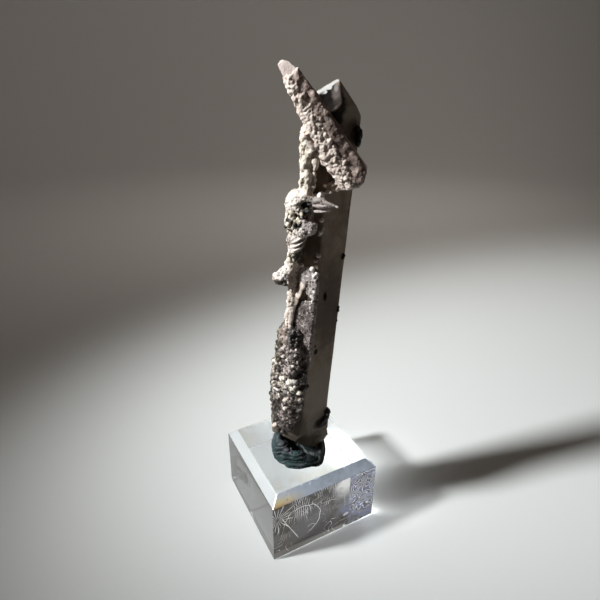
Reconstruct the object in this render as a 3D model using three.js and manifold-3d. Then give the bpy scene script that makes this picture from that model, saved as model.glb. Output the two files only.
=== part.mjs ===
// Quartz crystal specimen, pressed into a pad of mounting putty on a clear acrylic block.
// Lengths are millimetres and +Z is up. The origin is the centre of the block's underside.
import * as THREE from 'three';
import { mergeVertices } from 'three/addons/utils/BufferGeometryUtils.js';
import Module from 'manifold-3d';

const wasm = await Module();
wasm.setup();

// --- Driving dimensions ---------------------------------------------------------------

const BLOCK = { width: 38, height: 25, chamfer: 2.8 };

// The specimen's own frame: x to its right, y to its back, z up. It stands a little off the
// block's centre and is turned on it, so that no prism face lines up with a block side.
const SPECIMEN = { x: -1.8, y: -3.0, turnDeg: -28.2 };

const GAP = 0.3; // clearance left where one piece is cut to fit its neighbour

// The putty is a low pad with a wall of lapped folds round it. Lumps everywhere below are
// [x, y, z, half width, half depth, half height, lean about Y, lean about X, turn about Z].
const PUTTY = [
  [0, -1.3, 26.6, 8.6, 8.4, 2.5],
  [-6.1, -1.4, 28.7, 2.8, 5.5, 4.3, -8, 0],
  [-5.4, -4.2, 28.6, 3.0, 2.7, 4.7, 0, 8],
  [-3.2, -5.9, 28.4, 2.7, 2.1, 3.6, -20, 10],
  [-0.6, -7.0, 28.2, 3.5, 1.7, 3.7, 16, 14],
  [2.6, -6.9, 27.4, 3.7, 1.8, 2.7, 14, 10],
  [5.4, -5.0, 26.8, 3.1, 3.3, 2.4, 4, 4],
  [7.2, -1.6, 27.6, 1.7, 4.5, 3.3],
  [6.0, 3.0, 28.8, 2.7, 3.7, 3.7],
  [0.4, 5.0, 29.0, 6.7, 2.8, 4.0],
  [-4.6, 3.6, 29.0, 3.5, 3.3, 4.0],
  [1.4, 3.0, 29.2, 5.3, 3.1, 3.9],
];

// A quartz crystal is six prism faces round its axis and six tip faces over them. `reach` is
// the distance from the axis to each prism face at the foot; `firstFaceDeg` turns the first
// face's normal from -Y towards +X. `taperDeg` leans every prism face inwards.
const TIP_SLOPE_DEG = 38.2; // angle between a quartz tip face and the prism face below it
const FACE_COUNT = 6;

const MAIN_CRYSTAL = {
  foot: [0.8, 0, 33],
  apex: [9.2, 5.5, 139.7],
  reach: [7.1, 7.3, 5.5, 7.1, 6.4, 5.7],
  firstFaceDeg: -80,
  taperDeg: 0.35,
  tipSetback: [-2.5, 0, 0, 0.3, 0.2, 0],
  skirt: 10, // length grown below the foot point, before the broken foot is cut
};

const CROSS_CRYSTAL = {
  foot: [14.3, -3.4, 116.0],
  apex: [-5.5, -5.4, 145.4],
  reach: [3.8, 3.7, 4.4, 3.1, 3.6, 3.9],
  firstFaceDeg: -55,
  taperDeg: 4.2,
  tipSetback: [0, 0, 0, 0, 0, 0],
  skirt: 0,
};

// Short crystal grown side by side with the foot of the cross crystal.
const SIDE_CRYSTAL = {
  foot: [13.9, -4.0, 114.9],
  apex: [4.0, -5.0, 126.4],
  reach: [2.3, 2.3, 2.3, 2.3, 2.3, 2.3],
  firstFaceDeg: -92,
  taperDeg: 3,
  tipSetback: [0, 0, 0, 0, 0, 0],
  skirt: 0,
};

// Flat cuts in the specimen's frame: a point on the cut and the direction that is removed.
const TIP_WEAR = [{ at: [9.35, 5.7, 139.3], away: [-0.344, -0.459, 0.819] }];
const BROKEN_FOOT = [
  { at: [0.27, -7.8, 34.9], away: [-0.5, -0.6, -1] },
  { at: [-6.5, 0, 35.2], away: [-0.75, 0.1, -1] },
  { at: [9.4, 0, 34.0], away: [1, 0.3, -0.5] },
  { at: [0.6, -7.4, 38], away: [0.15, -1, -0.25] },
];
const CROSS_TIP_CUTS = [
  { at: [-3.4, -5.4, 143], away: [-0.08, -0.25, 1] },
  { at: [-2, -6.2, 141.2], away: [-0.2, -0.93, 0.32] },
  { at: [-5.0, -5.4, 142.4], away: [-0.9, -0.1, 0.45] },
];
const CROSS_FOOT_CUTS = [
  { at: [15.8, -3, 117.5], away: [1, 0, -0.25] },
  { at: [14, -3, 114.8], away: [0.15, -0.1, -1] },
];

// The main crystal's foot swells towards +X below these heights.
const FOOT_FLARE = { low: 38, high: 42.5, out: 1 };

// A narrow slot in the main crystal's front right face.
const SLOT = {
  middle: [7.2, -2.2, 83.7],
  outward: [0.64, -0.768, 0],
  leanDeg: 32,
  width: 0.48,
  height: 2.1,
  depth: 0.7,
};

// Crusts are strands: lumps run together from each one to the next.
const PALE_STRANDS = [
  // over the left flank of the cross crystal, from its tip down to its foot
  [
    [-2.2, -5.6, 138.2, 1.1, 1.1, 1.7],
    [0.2, -5.5, 134.9, 1.5, 1.4, 2.1],
    [3.4, -5.5, 129.0, 2.1, 1.6, 2.4],
    [6.5, -5.5, 123.8, 2.3, 1.7, 2.6],
    [9.2, -5.4, 120.2, 2.3, 1.8, 2.6],
    [11.8, -5.3, 117.2, 2.4, 1.9, 2.2],
  ],
  // a column down the main crystal's left edge
  [
    [1.9, -4.2, 127.0, 1.7, 2.2, 2.4],
    [1.9, -2.7, 122.6, 1.8, 2.1, 2.6],
    [1.8, -2.4, 118.6, 1.5, 1.9, 2.4],
    [1.8, -2.6, 114.8, 1.7, 2.4, 2.2],
    [-0.2, -2.8, 110.4, 3.4, 3.6, 3.7],
    [-0.2, -3.0, 106.2, 3.7, 3.8, 4.0],
    [-0.9, -2.8, 101.4, 2.6, 2.9, 1.6],
    [-1.0, -2.0, 97.6, 2.0, 2.4, 2.0],
    [-1.6, -1.6, 93.6, 1.7, 2.0, 2.0],
  ],
  // the top and the lower right of the big lump
  [
    [1.2, -4.4, 112.2, 2.2, 2.0, 1.8],
    [2.6, -4.6, 104.6, 1.9, 2.4, 2.0],
    [0.6, -5.0, 104.0, 2.4, 2.0, 1.8],
  ],
  // the twisted strand under the ledges
  [
    [-1.9, -3.6, 98.8, 1.1, 1.6, 1.2],
    [-2.1, -3.2, 95.6, 1.0, 1.5, 1.4],
    [-2.1, -2.6, 92.6, 1.0, 1.2, 1.4],
  ],
  // the spur that points left
  [
    [-2.4, -2.5, 91.8, 1.3, 1.3, 1.6],
    [-4.2, -2.8, 90.6, 1.7, 1.7, 1.8],
    [-5.5, -2.6, 89.4, 1.2, 1.4, 1.2],
  ],
  // the ribbon that runs down to the dark druse
  [
    [-1.9, -2.5, 91.0, 0.9, 1.0, 1.6],
    [-1.8, -2.6, 88.0, 1.0, 1.0, 1.8],
    [-2.1, -2.7, 84.6, 1.0, 1.1, 2.0],
    [-2.7, -2.7, 80.4, 0.9, 1.2, 2.0],
    [-3.2, -2.6, 75.6, 0.9, 1.4, 2.0],
  ],
  // the thorn that points right, and the arm under it
  [
    [2.6, -4.8, 112.2, 1.5, 1.4, 1.0],
    [5.6, -5.4, 111.6, 1.1, 1.0, 0.8],
    [7.0, -6.2, 111.2, 0.75, 0.5, 0.5],
    [9.5, -6.4, 110.5, 0.3, 0.3, 0.24],
  ],
  [
    [2.3, -5.9, 111.0, 0.6, 0.6, 0.32],
    [4.6, -6.1, 110.5, 0.8, 0.7, 0.42],
    [7.2, -6.2, 110.5, 0.6, 0.4, 0.4],
  ],
];

// Single plates, rods and lobes that stand out from the pale crust.
const PALE_DETAILS = [
  [-0.6, -4.9, 101.6, 2.1, 1.7, 0.34, -28],
  [-0.3, -5.0, 100.5, 2.2, 1.7, 0.32, -31],
  [-0.3, -5.0, 99.4, 2.1, 1.6, 0.3, -29],
  [-0.8, -4.7, 98.5, 1.7, 1.5, 0.3, -22],
  [5.4, -5.9, 109.3, 2.6, 0.8, 0.42, -4],
  [3.7, -5.0, 121.2, 0.95, 0.8, 2.3, 3],
  [1.8, -4.8, 117.6, 1.0, 0.9, 2.1, -2],
  [1.2, -4.8, 121.0, 0.9, 0.85, 1.8, 4],
  [5.5, -5.6, 121.6, 0.7, 0.6, 1.3, -4],
  [6.1, -6.5, 122.5, 1.2, 0.9, 1.1],
  [0.7, -3.7, 88.0, 1.15, 0.45, 2.0, 16, -15, -35],
  [-0.3, -3.7, 85.4, 1.1, 0.45, 2.1, 16, -15, -35],
  [-1.0, -3.7, 83.2, 0.95, 0.45, 1.9, 14, -10, -30],
];

const DARK_STRANDS = [
  [
    [-3.2, -2.2, 73.4, 1.7, 2.8, 2.6],
    [-4.1, -1.8, 67.0, 2.2, 3.4, 3.4],
    [-5.3, -1.8, 59.0, 2.5, 4.0, 3.6],
    [-5.7, -2.0, 51.0, 2.6, 4.2, 3.8],
    [-5.8, -2.3, 43.6, 2.6, 4.0, 3.8],
    [-5.7, -2.4, 38.4, 2.3, 3.4, 3.2],
  ],
  [
    [-1.4, -4.6, 72.4, 1.9, 1.8, 2.4],
    [-1.6, -5.2, 66.0, 2.3, 2.2, 3.0],
    [-1.0, -5.8, 59.0, 3.0, 2.6, 3.2],
    [-1.8, -6.2, 52.0, 3.2, 2.6, 3.2],
    [-2.6, -6.3, 46.5, 2.8, 2.4, 3.0],
    [-3.4, -6.0, 42.4, 2.4, 2.2, 2.8],
  ],
  [
    [-4.6, -4.6, 41.0, 2.6, 2.0, 2.2],
    [-5.0, -3.6, 38.0, 2.2, 2.2, 2.0],
  ],
];
const DARK_FOOT_CUT = { at: [-5.3, -5, 36.3], away: [-0.4, -0.36, -1] };

// Thin coats on the main crystal's front left face: [x, z] corners as seen from the front.
const PALE_COAT = [[-1.0, 89.6], [3.4, 84.0], [5.2, 84.0], [5.2, 91.6], [2.4, 93.0], [-1.0, 93.4]];
const DARK_COAT = [[0.2, 83.2], [-1.4, 78.8], [-1.6, 66.0], [0.4, 61.0], [3.2, 62.4], [5.6, 83.4]];
const COAT_RISE = 0.8; // how far a coat stands out from the quartz face
const COATED_FACE = 1; // index of the prism face under the coats

// The thin crust all round the cross crystal, and the planes where it ends.
const SKIN_RISE = 0.6;
const SKIN_CUTS = [
  { at: [-1.7, -5.2, 140.8], away: [-0.4, -0.06, 0.92] },
  { at: [6.2, -5, 133.9], away: [0.83, 0, 0.557] },
  { at: [0, -3.0, 130], away: [-0.3, 1, 0] },
];

const GRAIN_RELIEF = 0.3; // how far grains stand out from the strands they cover

// Separate dark growths on the main crystal's right-hand edge, from the top down.
const SIDE_KNOBS = [
  [[14.7, 2.6, 126.6, 1.0, 1.5, 1.7], [14.5, 2.4, 124.8, 0.9, 1.3, 1.3], [14.2, 2.2, 128.0, 0.8, 1.1, 1.0]],
  [[12.2, 1.9, 94.7, 0.65, 0.8, 0.65], [12.0, 1.6, 94.0, 0.6, 0.7, 0.6]],
  [[11.3, 1.5, 78.5, 0.6, 0.7, 0.8], [11.2, 1.3, 77.7, 0.55, 0.7, 0.6]],
  [[11.0, 1.1, 74.4, 0.6, 0.7, 0.6]],
  [
    [9.1, -0.4, 41.8, 1.2, 1.6, 1.6],
    [8.9, -0.6, 40.3, 1.1, 1.5, 1.5],
    [8.2, -1.2, 39.8, 1.3, 1.3, 1.3],
    [7.4, -1.8, 39.0, 1.1, 0.9, 1.1, -30],
  ],
];

const FINE_LUMP = { detail: 2, size: 2.3 }; // lumps at least this big are divided finely
const COARSE_DETAIL = 1;

// --- Shape helpers ----------------------------------------------------------------------

const radians = THREE.MathUtils.degToRad;
const upward = new THREE.Vector3(0, 0, 1);

function toSolid(geometry) {
  const bare = geometry.clone();
  bare.deleteAttribute('normal');
  bare.deleteAttribute('uv');
  const merged = mergeVertices(bare, 1e-4);
  return new wasm.Manifold(new wasm.Mesh({
    numProp: 3,
    vertProperties: merged.attributes.position.array,
    triVerts: new Uint32Array(merged.index.array),
  }));
}

function toGeometry(solid) {
  const { vertProperties, triVerts } = solid.getMesh();
  const geometry = new THREE.BufferGeometry();
  geometry.setAttribute('position', new THREE.BufferAttribute(vertProperties, 3));
  geometry.setIndex(new THREE.BufferAttribute(triVerts, 1));
  geometry.computeVertexNormals();
  return geometry;
}

// Removes everything on the `away` side of the flat plane through `at`.
function cutFlat(solid, at, away) {
  const slabSize = 400;
  const direction = new THREE.Vector3(...away).normalize();
  const slab = new THREE.BoxGeometry(slabSize, slabSize, slabSize);
  slab.translate(0, 0, slabSize / 2);
  slab.applyQuaternion(new THREE.Quaternion().setFromUnitVectors(upward, direction));
  slab.translate(...at);
  return solid.subtract(toSolid(slab));
}

// A quartz crystal cut from a bar, face by face; `grow` moves every face outwards.
function crystal(spec, grow = 0) {
  const foot = new THREE.Vector3(...spec.foot);
  const span = new THREE.Vector3(...spec.apex).sub(foot);
  const length = span.length();
  const barWidth = 30;
  const bar = new THREE.BoxGeometry(barWidth, barWidth, length + spec.skirt + 2 * grow);
  bar.translate(0, 0, (length - spec.skirt) / 2);
  let solid = toSolid(bar);
  for (let i = 0; i < FACE_COUNT; i++) {
    const turn = radians(spec.firstFaceDeg + i * 360 / FACE_COUNT);
    const outward = new THREE.Vector3(Math.sin(turn), -Math.cos(turn), 0);
    const lean = Math.tan(radians(spec.taperDeg));
    const prismAt = outward.clone().multiplyScalar(spec.reach[i] + grow);
    solid = cutFlat(solid, prismAt.toArray(), [outward.x, outward.y, lean]);
    const tipRise = Math.tan(radians(TIP_SLOPE_DEG));
    const tipAt = [0, 0, length - spec.tipSetback[i] + grow / Math.sin(radians(TIP_SLOPE_DEG))];
    solid = cutFlat(solid, tipAt, [outward.x, outward.y, tipRise]);
  }
  const placed = toGeometry(solid);
  placed.applyQuaternion(new THREE.Quaternion().setFromUnitVectors(upward, span.normalize()));
  placed.translate(...spec.foot);
  return toSolid(placed);
}

function movedAlong(cut, distance) {
  const step = new THREE.Vector3(...cut.away).normalize().multiplyScalar(distance);
  return { at: new THREE.Vector3(...cut.at).add(step).toArray(), away: cut.away };
}

function cutAll(solid, cuts, grow) {
  return cuts.reduce((left, cut) => {
    const { at, away } = movedAlong(cut, grow);
    return cutFlat(left, at, away);
  }, solid);
}

// The main crystal, its foot swollen to one side by stretching its lowest part.
function mainCrystal(grow) {
  const bar = crystal(MAIN_CRYSTAL, grow);
  const below = cutFlat(bar, [0, 0, FOOT_FLARE.high], [0, 0, 1]);
  const lowest = cutFlat(bar, [0, 0, FOOT_FLARE.low], [0, 0, 1]).translate([FOOT_FLARE.out, 0, 0]);
  const flared = bar.add(wasm.Manifold.hull([below, lowest]));
  return cutAll(flared, [...TIP_WEAR, ...BROKEN_FOOT], grow);
}

// A bar that fills the slot, from its mouth inwards.
function slotBar() {
  const bar = new THREE.BoxGeometry(SLOT.width, 2 * SLOT.depth, SLOT.height);
  const outward = new THREE.Vector3(...SLOT.outward).normalize();
  bar.rotateY(radians(SLOT.leanDeg));
  bar.applyQuaternion(new THREE.Quaternion().setFromUnitVectors(new THREE.Vector3(0, -1, 0), outward));
  bar.translate(...SLOT.middle);
  return toSolid(bar);
}

// The two big crystals and the short one beside them are intergrown: one solid.
function quartz(grow = 0) {
  const main = mainCrystal(grow).subtract(slotBar());
  const cross = cutAll(crystal(CROSS_CRYSTAL, grow), [...CROSS_TIP_CUTS, ...CROSS_FOOT_CUTS], grow);
  const side = cutAll(crystal(SIDE_CRYSTAL, grow), CROSS_FOOT_CUTS, grow);
  return main.add(cross).add(side);
}

function lump([x, y, z, halfWidth, halfDepth, halfHeight, leanY = 0, leanX = 0, turnZ = 0], grow = 0) {
  const big = Math.max(halfWidth, halfDepth, halfHeight) >= FINE_LUMP.size;
  const ball = new THREE.IcosahedronGeometry(1, big ? FINE_LUMP.detail : COARSE_DETAIL);
  ball.scale(halfWidth + grow, halfDepth + grow, halfHeight + grow);
  ball.rotateX(radians(leanX));
  ball.rotateY(radians(leanY));
  ball.rotateZ(radians(turnZ));
  ball.translate(x, y, z);
  return toSolid(ball);
}

function joinAll(solids) {
  return solids.reduce((joined, next) => joined.add(next));
}

// Where one piece is cut to fit another, loose crumbs are dropped and the main body is kept.
function mainBody(solid) {
  return solid.decompose().reduce((best, next) => (next.volume() > best.volume() ? next : best));
}

function heap(lumps, grow = 0) {
  return joinAll(lumps.map((each) => lump(each, grow)));
}

function strand(stops, grow) {
  const balls = stops.map((stop) => lump(stop, grow));
  return joinAll(balls.slice(1).map((ball, i) => wasm.Manifold.hull([balls[i], ball])));
}

function crust(strands, grow) {
  return joinAll(strands.map((stops) => strand(stops, grow)));
}

// A layer on one prism face of the main crystal, inside an outline seen from the front.
function coat(corners) {
  let solid = crystal(MAIN_CRYSTAL, COAT_RISE);
  corners.forEach(([x, z], i) => {
    const [nextX, nextZ] = corners[(i + 1) % corners.length];
    solid = cutFlat(solid, [x, 0, z], [nextZ - z, 0, x - nextX]);
  });
  const turn = radians(MAIN_CRYSTAL.firstFaceDeg + COATED_FACE * 360 / FACE_COUNT);
  const outward = new THREE.Vector3(Math.sin(turn), -Math.cos(turn), 0);
  const depth = MAIN_CRYSTAL.reach[COATED_FACE] - 1;
  const foot = new THREE.Vector3(...MAIN_CRYSTAL.foot);
  const span = new THREE.Vector3(...MAIN_CRYSTAL.apex).sub(foot).normalize();
  const tilt = new THREE.Quaternion().setFromUnitVectors(upward, span);
  outward.applyQuaternion(tilt);
  const at = foot.clone().addScaledVector(outward, depth);
  return cutFlat(solid, at.toArray(), outward.clone().negate().toArray());
}

// The crust round the cross crystal, before the quartz inside it is taken out.
function crossSkin() {
  const bar = crystal(CROSS_CRYSTAL, SKIN_RISE);
  return cutAll(cutAll(bar, [...CROSS_TIP_CUTS, ...CROSS_FOOT_CUTS], SKIN_RISE), SKIN_CUTS, 0);
}

// --- Pieces -------------------------------------------------------------------------------

function blockGeometry() {
  const corner = BLOCK.width / Math.SQRT2; // half of the block's diagonal
  const inset = BLOCK.chamfer * Math.SQRT2;
  const profile = [
    new THREE.Vector2(0, 0),
    new THREE.Vector2(corner, 0),
    new THREE.Vector2(corner, BLOCK.height - BLOCK.chamfer),
    new THREE.Vector2(corner - inset, BLOCK.height),
    new THREE.Vector2(0, BLOCK.height),
  ];
  const block = new THREE.LatheGeometry(profile, 4); // four turns make a square block
  block.rotateX(Math.PI / 2);
  block.rotateZ(Math.PI / 4);
  return block;
}

function finish(color, roughness, options = {}) {
  return new THREE.MeshStandardMaterial({ color, roughness, metalness: 0, ...options });
}

const acrylic = finish(0xe8eef0, 0.05, { transparent: true, opacity: 0.35 });
const putty = finish(0x1d3a3a, 0.6);
const smokyQuartz = finish(0x6b625b, 0.3);
const paleGrains = finish(0xd9cdbd, 0.7);
const darkGrains = finish(0x6a625c, 0.65);
const darkKnob = finish(0x24221f, 0.7);

function node(name, geometry, material) {
  const mesh = new THREE.Mesh(geometry, material);
  mesh.name = name;
  return mesh;
}

const crystals = quartz();
const crystalsGrown = quartz(GAP);
const puttySolid = cutFlat(heap(PUTTY), [0, 0, BLOCK.height], [0, 0, -1]).subtract(crystalsGrown);

function darkCrust(grow) {
  const strands = cutAll(crust(DARK_STRANDS, GRAIN_RELIEF + grow), [DARK_FOOT_CUT], grow);
  return strands.add(coat(DARK_COAT));
}

const darkSolid = darkCrust(0).subtract(crystalsGrown).subtract(heap(PUTTY, GAP));
const paleCrust = crust(PALE_STRANDS, GRAIN_RELIEF).add(crossSkin()).add(coat(PALE_COAT));
const paleHeap = paleCrust.add(heap(PALE_DETAILS)).subtract(crystalsGrown).subtract(darkCrust(GAP));
const paleSolid = mainBody(paleHeap);

const specimen = new THREE.Group();
specimen.position.set(SPECIMEN.x, SPECIMEN.y, 0);
specimen.rotation.z = radians(SPECIMEN.turnDeg);
specimen.add(node('tack_putty', toGeometry(puttySolid), putty));
specimen.add(node('quartz_crystals', toGeometry(crystals), smokyQuartz));
specimen.add(node('pale_druse', toGeometry(paleSolid), paleGrains));
specimen.add(node('dark_druse', toGeometry(darkSolid), darkGrains));
SIDE_KNOBS.forEach((lumps, i) => {
  const solid = mainBody(heap(lumps).subtract(crystalsGrown));
  specimen.add(node(`side_knob_${i + 1}`, toGeometry(solid), darkKnob));
});

const part = new THREE.Group();
part.add(node('acrylic_block', blockGeometry(), acrylic));
part.add(specimen);

export default part;
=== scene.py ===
import math
import random

import bmesh
import bpy
from mathutils import Matrix, Vector, noise
from mathutils.bvhtree import BVHTree
from mathutils.kdtree import KDTree


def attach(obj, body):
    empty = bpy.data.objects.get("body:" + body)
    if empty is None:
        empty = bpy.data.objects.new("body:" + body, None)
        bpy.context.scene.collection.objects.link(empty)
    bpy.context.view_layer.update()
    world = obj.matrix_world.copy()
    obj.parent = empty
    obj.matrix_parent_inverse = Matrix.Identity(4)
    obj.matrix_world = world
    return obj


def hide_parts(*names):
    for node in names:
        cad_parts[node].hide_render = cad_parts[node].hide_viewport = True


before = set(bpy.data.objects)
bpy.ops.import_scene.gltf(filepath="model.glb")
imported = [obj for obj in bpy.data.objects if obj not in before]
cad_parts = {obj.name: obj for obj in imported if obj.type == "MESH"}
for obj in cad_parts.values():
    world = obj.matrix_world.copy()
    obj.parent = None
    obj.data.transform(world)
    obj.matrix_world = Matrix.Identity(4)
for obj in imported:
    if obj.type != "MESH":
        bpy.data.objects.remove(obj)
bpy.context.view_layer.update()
scene = bpy.context.scene

# The specimen's own frame: x to its right, y to its back, z up, in millimetres.
specimen = {"place": (-1.8, -3.0, 0), "turn": -28.2, "millimetre": 0.001}
toMetres = Matrix.Scale(specimen["millimetre"], 4)
standing = (
    toMetres
    @ Matrix.Translation(specimen["place"])
    @ Matrix.Rotation(math.radians(specimen["turn"]), 4, "Z")
)


# helpers for meshes
def finishPiece(name, bm, materials, nodes=(), matrix=standing, smooth=True):
    bmesh.ops.transform(bm, matrix=matrix, verts=bm.verts)
    mesh = bpy.data.meshes.new(name)
    bm.to_mesh(mesh)
    bm.free()
    mesh.polygons.foreach_set("use_smooth", [smooth] * len(mesh.polygons))
    piece = bpy.data.objects.new(name, mesh)
    scene.collection.objects.link(piece)
    for material in materials:
        mesh.materials.append(material)
    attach(piece, "root")
    if nodes:
        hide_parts(*nodes)
    print("made", name, len(mesh.polygons), "faces")


def applyModifiers(piece):
    # swaps the mesh for its evaluated copy, so nothing stays live
    shape = piece.evaluated_get(bpy.context.evaluated_depsgraph_get())
    mesh = bpy.data.meshes.new_from_object(shape)
    piece.modifiers.clear()
    old = piece.data
    piece.data = mesh
    bpy.data.meshes.remove(old)
    return mesh


def softenEdges(bm, width):
    bmesh.ops.bevel(bm, geom=bm.edges[:], offset=width, segments=2, profile=0.5, affect="EDGES", material=-1)


def cutAway(bm, point, away):
    # removes what lies on the away side of the plane and closes the cut
    everything = bm.verts[:] + bm.edges[:] + bm.faces[:]
    cut = bmesh.ops.bisect_plane(
        bm, geom=everything, dist=1e-5, plane_co=point, plane_no=away, clear_outer=True
    )
    rim = [e for e in cut["geom_cut"] if isinstance(e, bmesh.types.BMEdge)]
    if rim:
        bmesh.ops.contextual_create(bm, geom=rim)


def sliceThrough(bm, point, across):
    everything = bm.verts[:] + bm.edges[:] + bm.faces[:]
    bmesh.ops.bisect_plane(bm, geom=everything, dist=1e-4, plane_co=point, plane_no=across)


def roughness3(point, size, seed, octaves=3):
    # fractal noise between about -1 and 1; size is the width of its lumps
    return noise.fractal(point / size + Vector((seed, 0, 0)), 0.9, 2.0, octaves)


def addLumps(bm, lumps):
    # a lump is x, y, z, its half width, depth and height, then its lean sideways and backwards and its turn
    for lump in lumps:
        x, y, z, halfWidth, halfDepth, halfHeight = lump[:6]
        leanSide, leanBack, turn = (tuple(lump[6:]) + (0, 0, 0))[:3]
        place = (
            Matrix.Translation((x, y, z))
            @ Matrix.Rotation(math.radians(turn), 4, "Z")
            @ Matrix.Rotation(math.radians(leanSide), 4, "Y")
            @ Matrix.Rotation(math.radians(leanBack), 4, "X")
            @ Matrix.Diagonal((halfWidth, halfDepth, halfHeight, 1))
        )
        bmesh.ops.create_icosphere(bm, subdivisions=3, radius=1, matrix=place)


def strand(*stops):
    # lumps run together from each stop to the next
    lumps = []
    for first, second in zip(stops, stops[1:]):
        span = (Vector(second[:3]) - Vector(first[:3])).length
        steps = max(1, round(span / (0.5 * min(first[3:6] + second[3:6]))))
        for step in range(steps):
            share = step / steps
            lumps.append(tuple(a + (b - a) * share for a, b in zip(first, second)))
    return lumps + [stops[-1]]


def remeshed(bm, voxel, smoothing):
    # one closed skin over everything in the mesh
    mesh = bpy.data.meshes.new("heap")
    bm.to_mesh(mesh)
    bm.free()
    heap = bpy.data.objects.new("heap", mesh)
    scene.collection.objects.link(heap)
    remesh = heap.modifiers.new("remesh", "REMESH")
    remesh.mode = "VOXEL"
    remesh.voxel_size = voxel
    mesh = applyModifiers(heap)
    bm = bmesh.new()
    bm.from_mesh(mesh)
    bpy.data.objects.remove(heap)
    bpy.data.meshes.remove(mesh)
    for _ in range(smoothing):
        bmesh.ops.smooth_vert(
            bm, verts=bm.verts, factor=0.5, use_axis_x=True, use_axis_y=True, use_axis_z=True
        )
    bm.normal_update()
    return bm


def dropCrumbs(bm, fewest):
    # removes loose bits with fewer corners than this
    waiting = set(bm.verts)
    crumbs = []
    while waiting:
        island = [waiting.pop()]
        for vertex in island:
            found = [e.other_vert(vertex) for e in vertex.link_edges]
            found = [other for other in found if other in waiting]
            waiting.difference_update(found)
            island.extend(found)
        if len(island) < fewest:
            crumbs += island
    bmesh.ops.delete(bm, geom=crumbs, context="VERTS")


def absorb(bm, other):
    # adds another mesh's faces to this one
    mesh = bpy.data.meshes.new("part")
    other.to_mesh(mesh)
    other.free()
    bm.from_mesh(mesh)
    bpy.data.meshes.remove(mesh)


def fade(value, start, end):
    # 0 at the start, 1 at the end, easy at both
    share = min(max((value - start) / (end - start), 0), 1)
    return share * share * (3 - 2 * share)


# helpers for materials
class Field:
    # a value at every point of a material, so that masks read as plain sums
    def __init__(self, paint, socket):
        self.paint, self.socket = paint, socket

    def __add__(self, other):
        return self.paint.mathNode("ADD", self, other)

    def __sub__(self, other):
        return self.paint.mathNode("SUBTRACT", self, other)

    def __rsub__(self, other):
        return self.paint.mathNode("SUBTRACT", other, self)

    def __mul__(self, other):
        return self.paint.mathNode("MULTIPLY", self, other)

    def __lt__(self, other):
        return self.paint.mathNode("LESS_THAN", self, other)

    def __gt__(self, other):
        return self.paint.mathNode("GREATER_THAN", self, other)

    def __or__(self, other):
        return self.paint.mathNode("MAXIMUM", self, other)

    def step(self, low, high):
        # 0 at low, 1 at high, easy at both
        inputs = {"Value": self, "From Min": low, "From Max": high}
        return self.paint.add("ShaderNodeMapRange", inputs, "Result", interpolation_type="SMOOTHSTEP")

    def line(self, thin):
        # fine lines where the value passes a half
        middle = self.paint.mathNode("ABSOLUTE", self.paint.mathNode("FRACT", self) - 0.5)
        return 1.0 - middle.step(thin * 0.3, thin)

    def noise(self, scale, detail=3, rough=0.55, distortion=0):
        inputs = {"Vector": self, "Scale": scale, "Detail": detail, "Roughness": rough,
                  "Distortion": distortion}
        return self.paint.add("ShaderNodeTexNoise", inputs, "Fac")

    def mapped(self, scale, shift=(0, 0, 0), turn=0):
        inputs = {"Vector": self, "Location": shift, "Rotation": (0, 0, turn), "Scale": scale}
        return self.paint.add("ShaderNodeMapping", inputs)

    def distance(self, centre=(0, 0, 0)):
        return self.paint.add("ShaderNodeVectorMath", {0: self, 1: centre}, "Value", operation="DISTANCE")

    def parts(self):
        split = addNode(self.paint.tree, "ShaderNodeSeparateXYZ", {"Vector": self})
        return [Field(self.paint, output) for output in split.outputs]

    def ramp(self, stops):
        node = addNode(self.paint.tree, "ShaderNodeValToRGB", {"Fac": self})
        elements = node.color_ramp.elements
        for element, (position, color) in zip(elements, stops):
            element.position = position
            element.color = (*color, 1)
        for position, color in stops[2:]:
            elements.new(position).color = (*color, 1)
        return Field(self.paint, node.outputs["Color"])


class Paint:
    # one material with its node tree and its shader
    def __init__(self, name, color, rough):
        self.material = bpy.data.materials.new(name)
        self.material.use_nodes = True
        self.material.diffuse_color = (*color, 1)
        self.tree = self.material.node_tree
        self.shader = self.tree.nodes["Principled BSDF"]
        self.put("Base Color", color)
        self.put("Roughness", rough)

    def put(self, name, value):
        feed(self.tree, self.shader.inputs[name], value)

    def add(self, kind, inputs, output=0, **settings):
        return Field(self, addNode(self.tree, kind, inputs, **settings).outputs[output])

    def mathNode(self, operation, first, second=0.0):
        return self.add("ShaderNodeMath", {0: first, 1: second}, operation=operation)

    def mix(self, factor, first, second, blend="MIX"):
        # the colour sockets of a Mix node are its seventh and eighth, and its colour output the third
        return self.add("ShaderNodeMix", {0: factor, 6: first, 7: second}, 2, data_type="RGBA",
                        blend_type=blend)

    def attribute(self, name):
        return self.add("ShaderNodeAttribute", {}, "Fac", attribute_name=name)

    def bump(self, height, strength, distance):
        inputs = {"Height": height, "Strength": strength, "Distance": distance}
        self.put("Normal", self.add("ShaderNodeBump", inputs))

    def place(self, turned=False):
        # Object coordinates in millimetres, turned into the specimen's frame where asked
        place = self.add("ShaderNodeTexCoord", {}, "Object")
        if not turned:
            return place.mapped((1000, 1000, 1000))
        turn = math.radians(-specimen["turn"])
        shift = Matrix.Rotation(turn, 3, "Z") @ -Vector(specimen["place"])
        return place.mapped((1000, 1000, 1000), shift, turn)


def feed(tree, socket, value):
    # links a field or a socket, or sets a plain value
    value = getattr(value, "socket", value)
    if isinstance(value, bpy.types.NodeSocket):
        tree.links.new(value, socket)
    else:
        socket.default_value = (*value, 1) if socket.type == "RGBA" else value


def addNode(tree, kind, inputs, **settings):
    node = tree.nodes.new(kind)
    for key, value in settings.items():
        setattr(node, key, value)
    for key, value in inputs.items():
        feed(tree, node.inputs[key], value)
    return node


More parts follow.
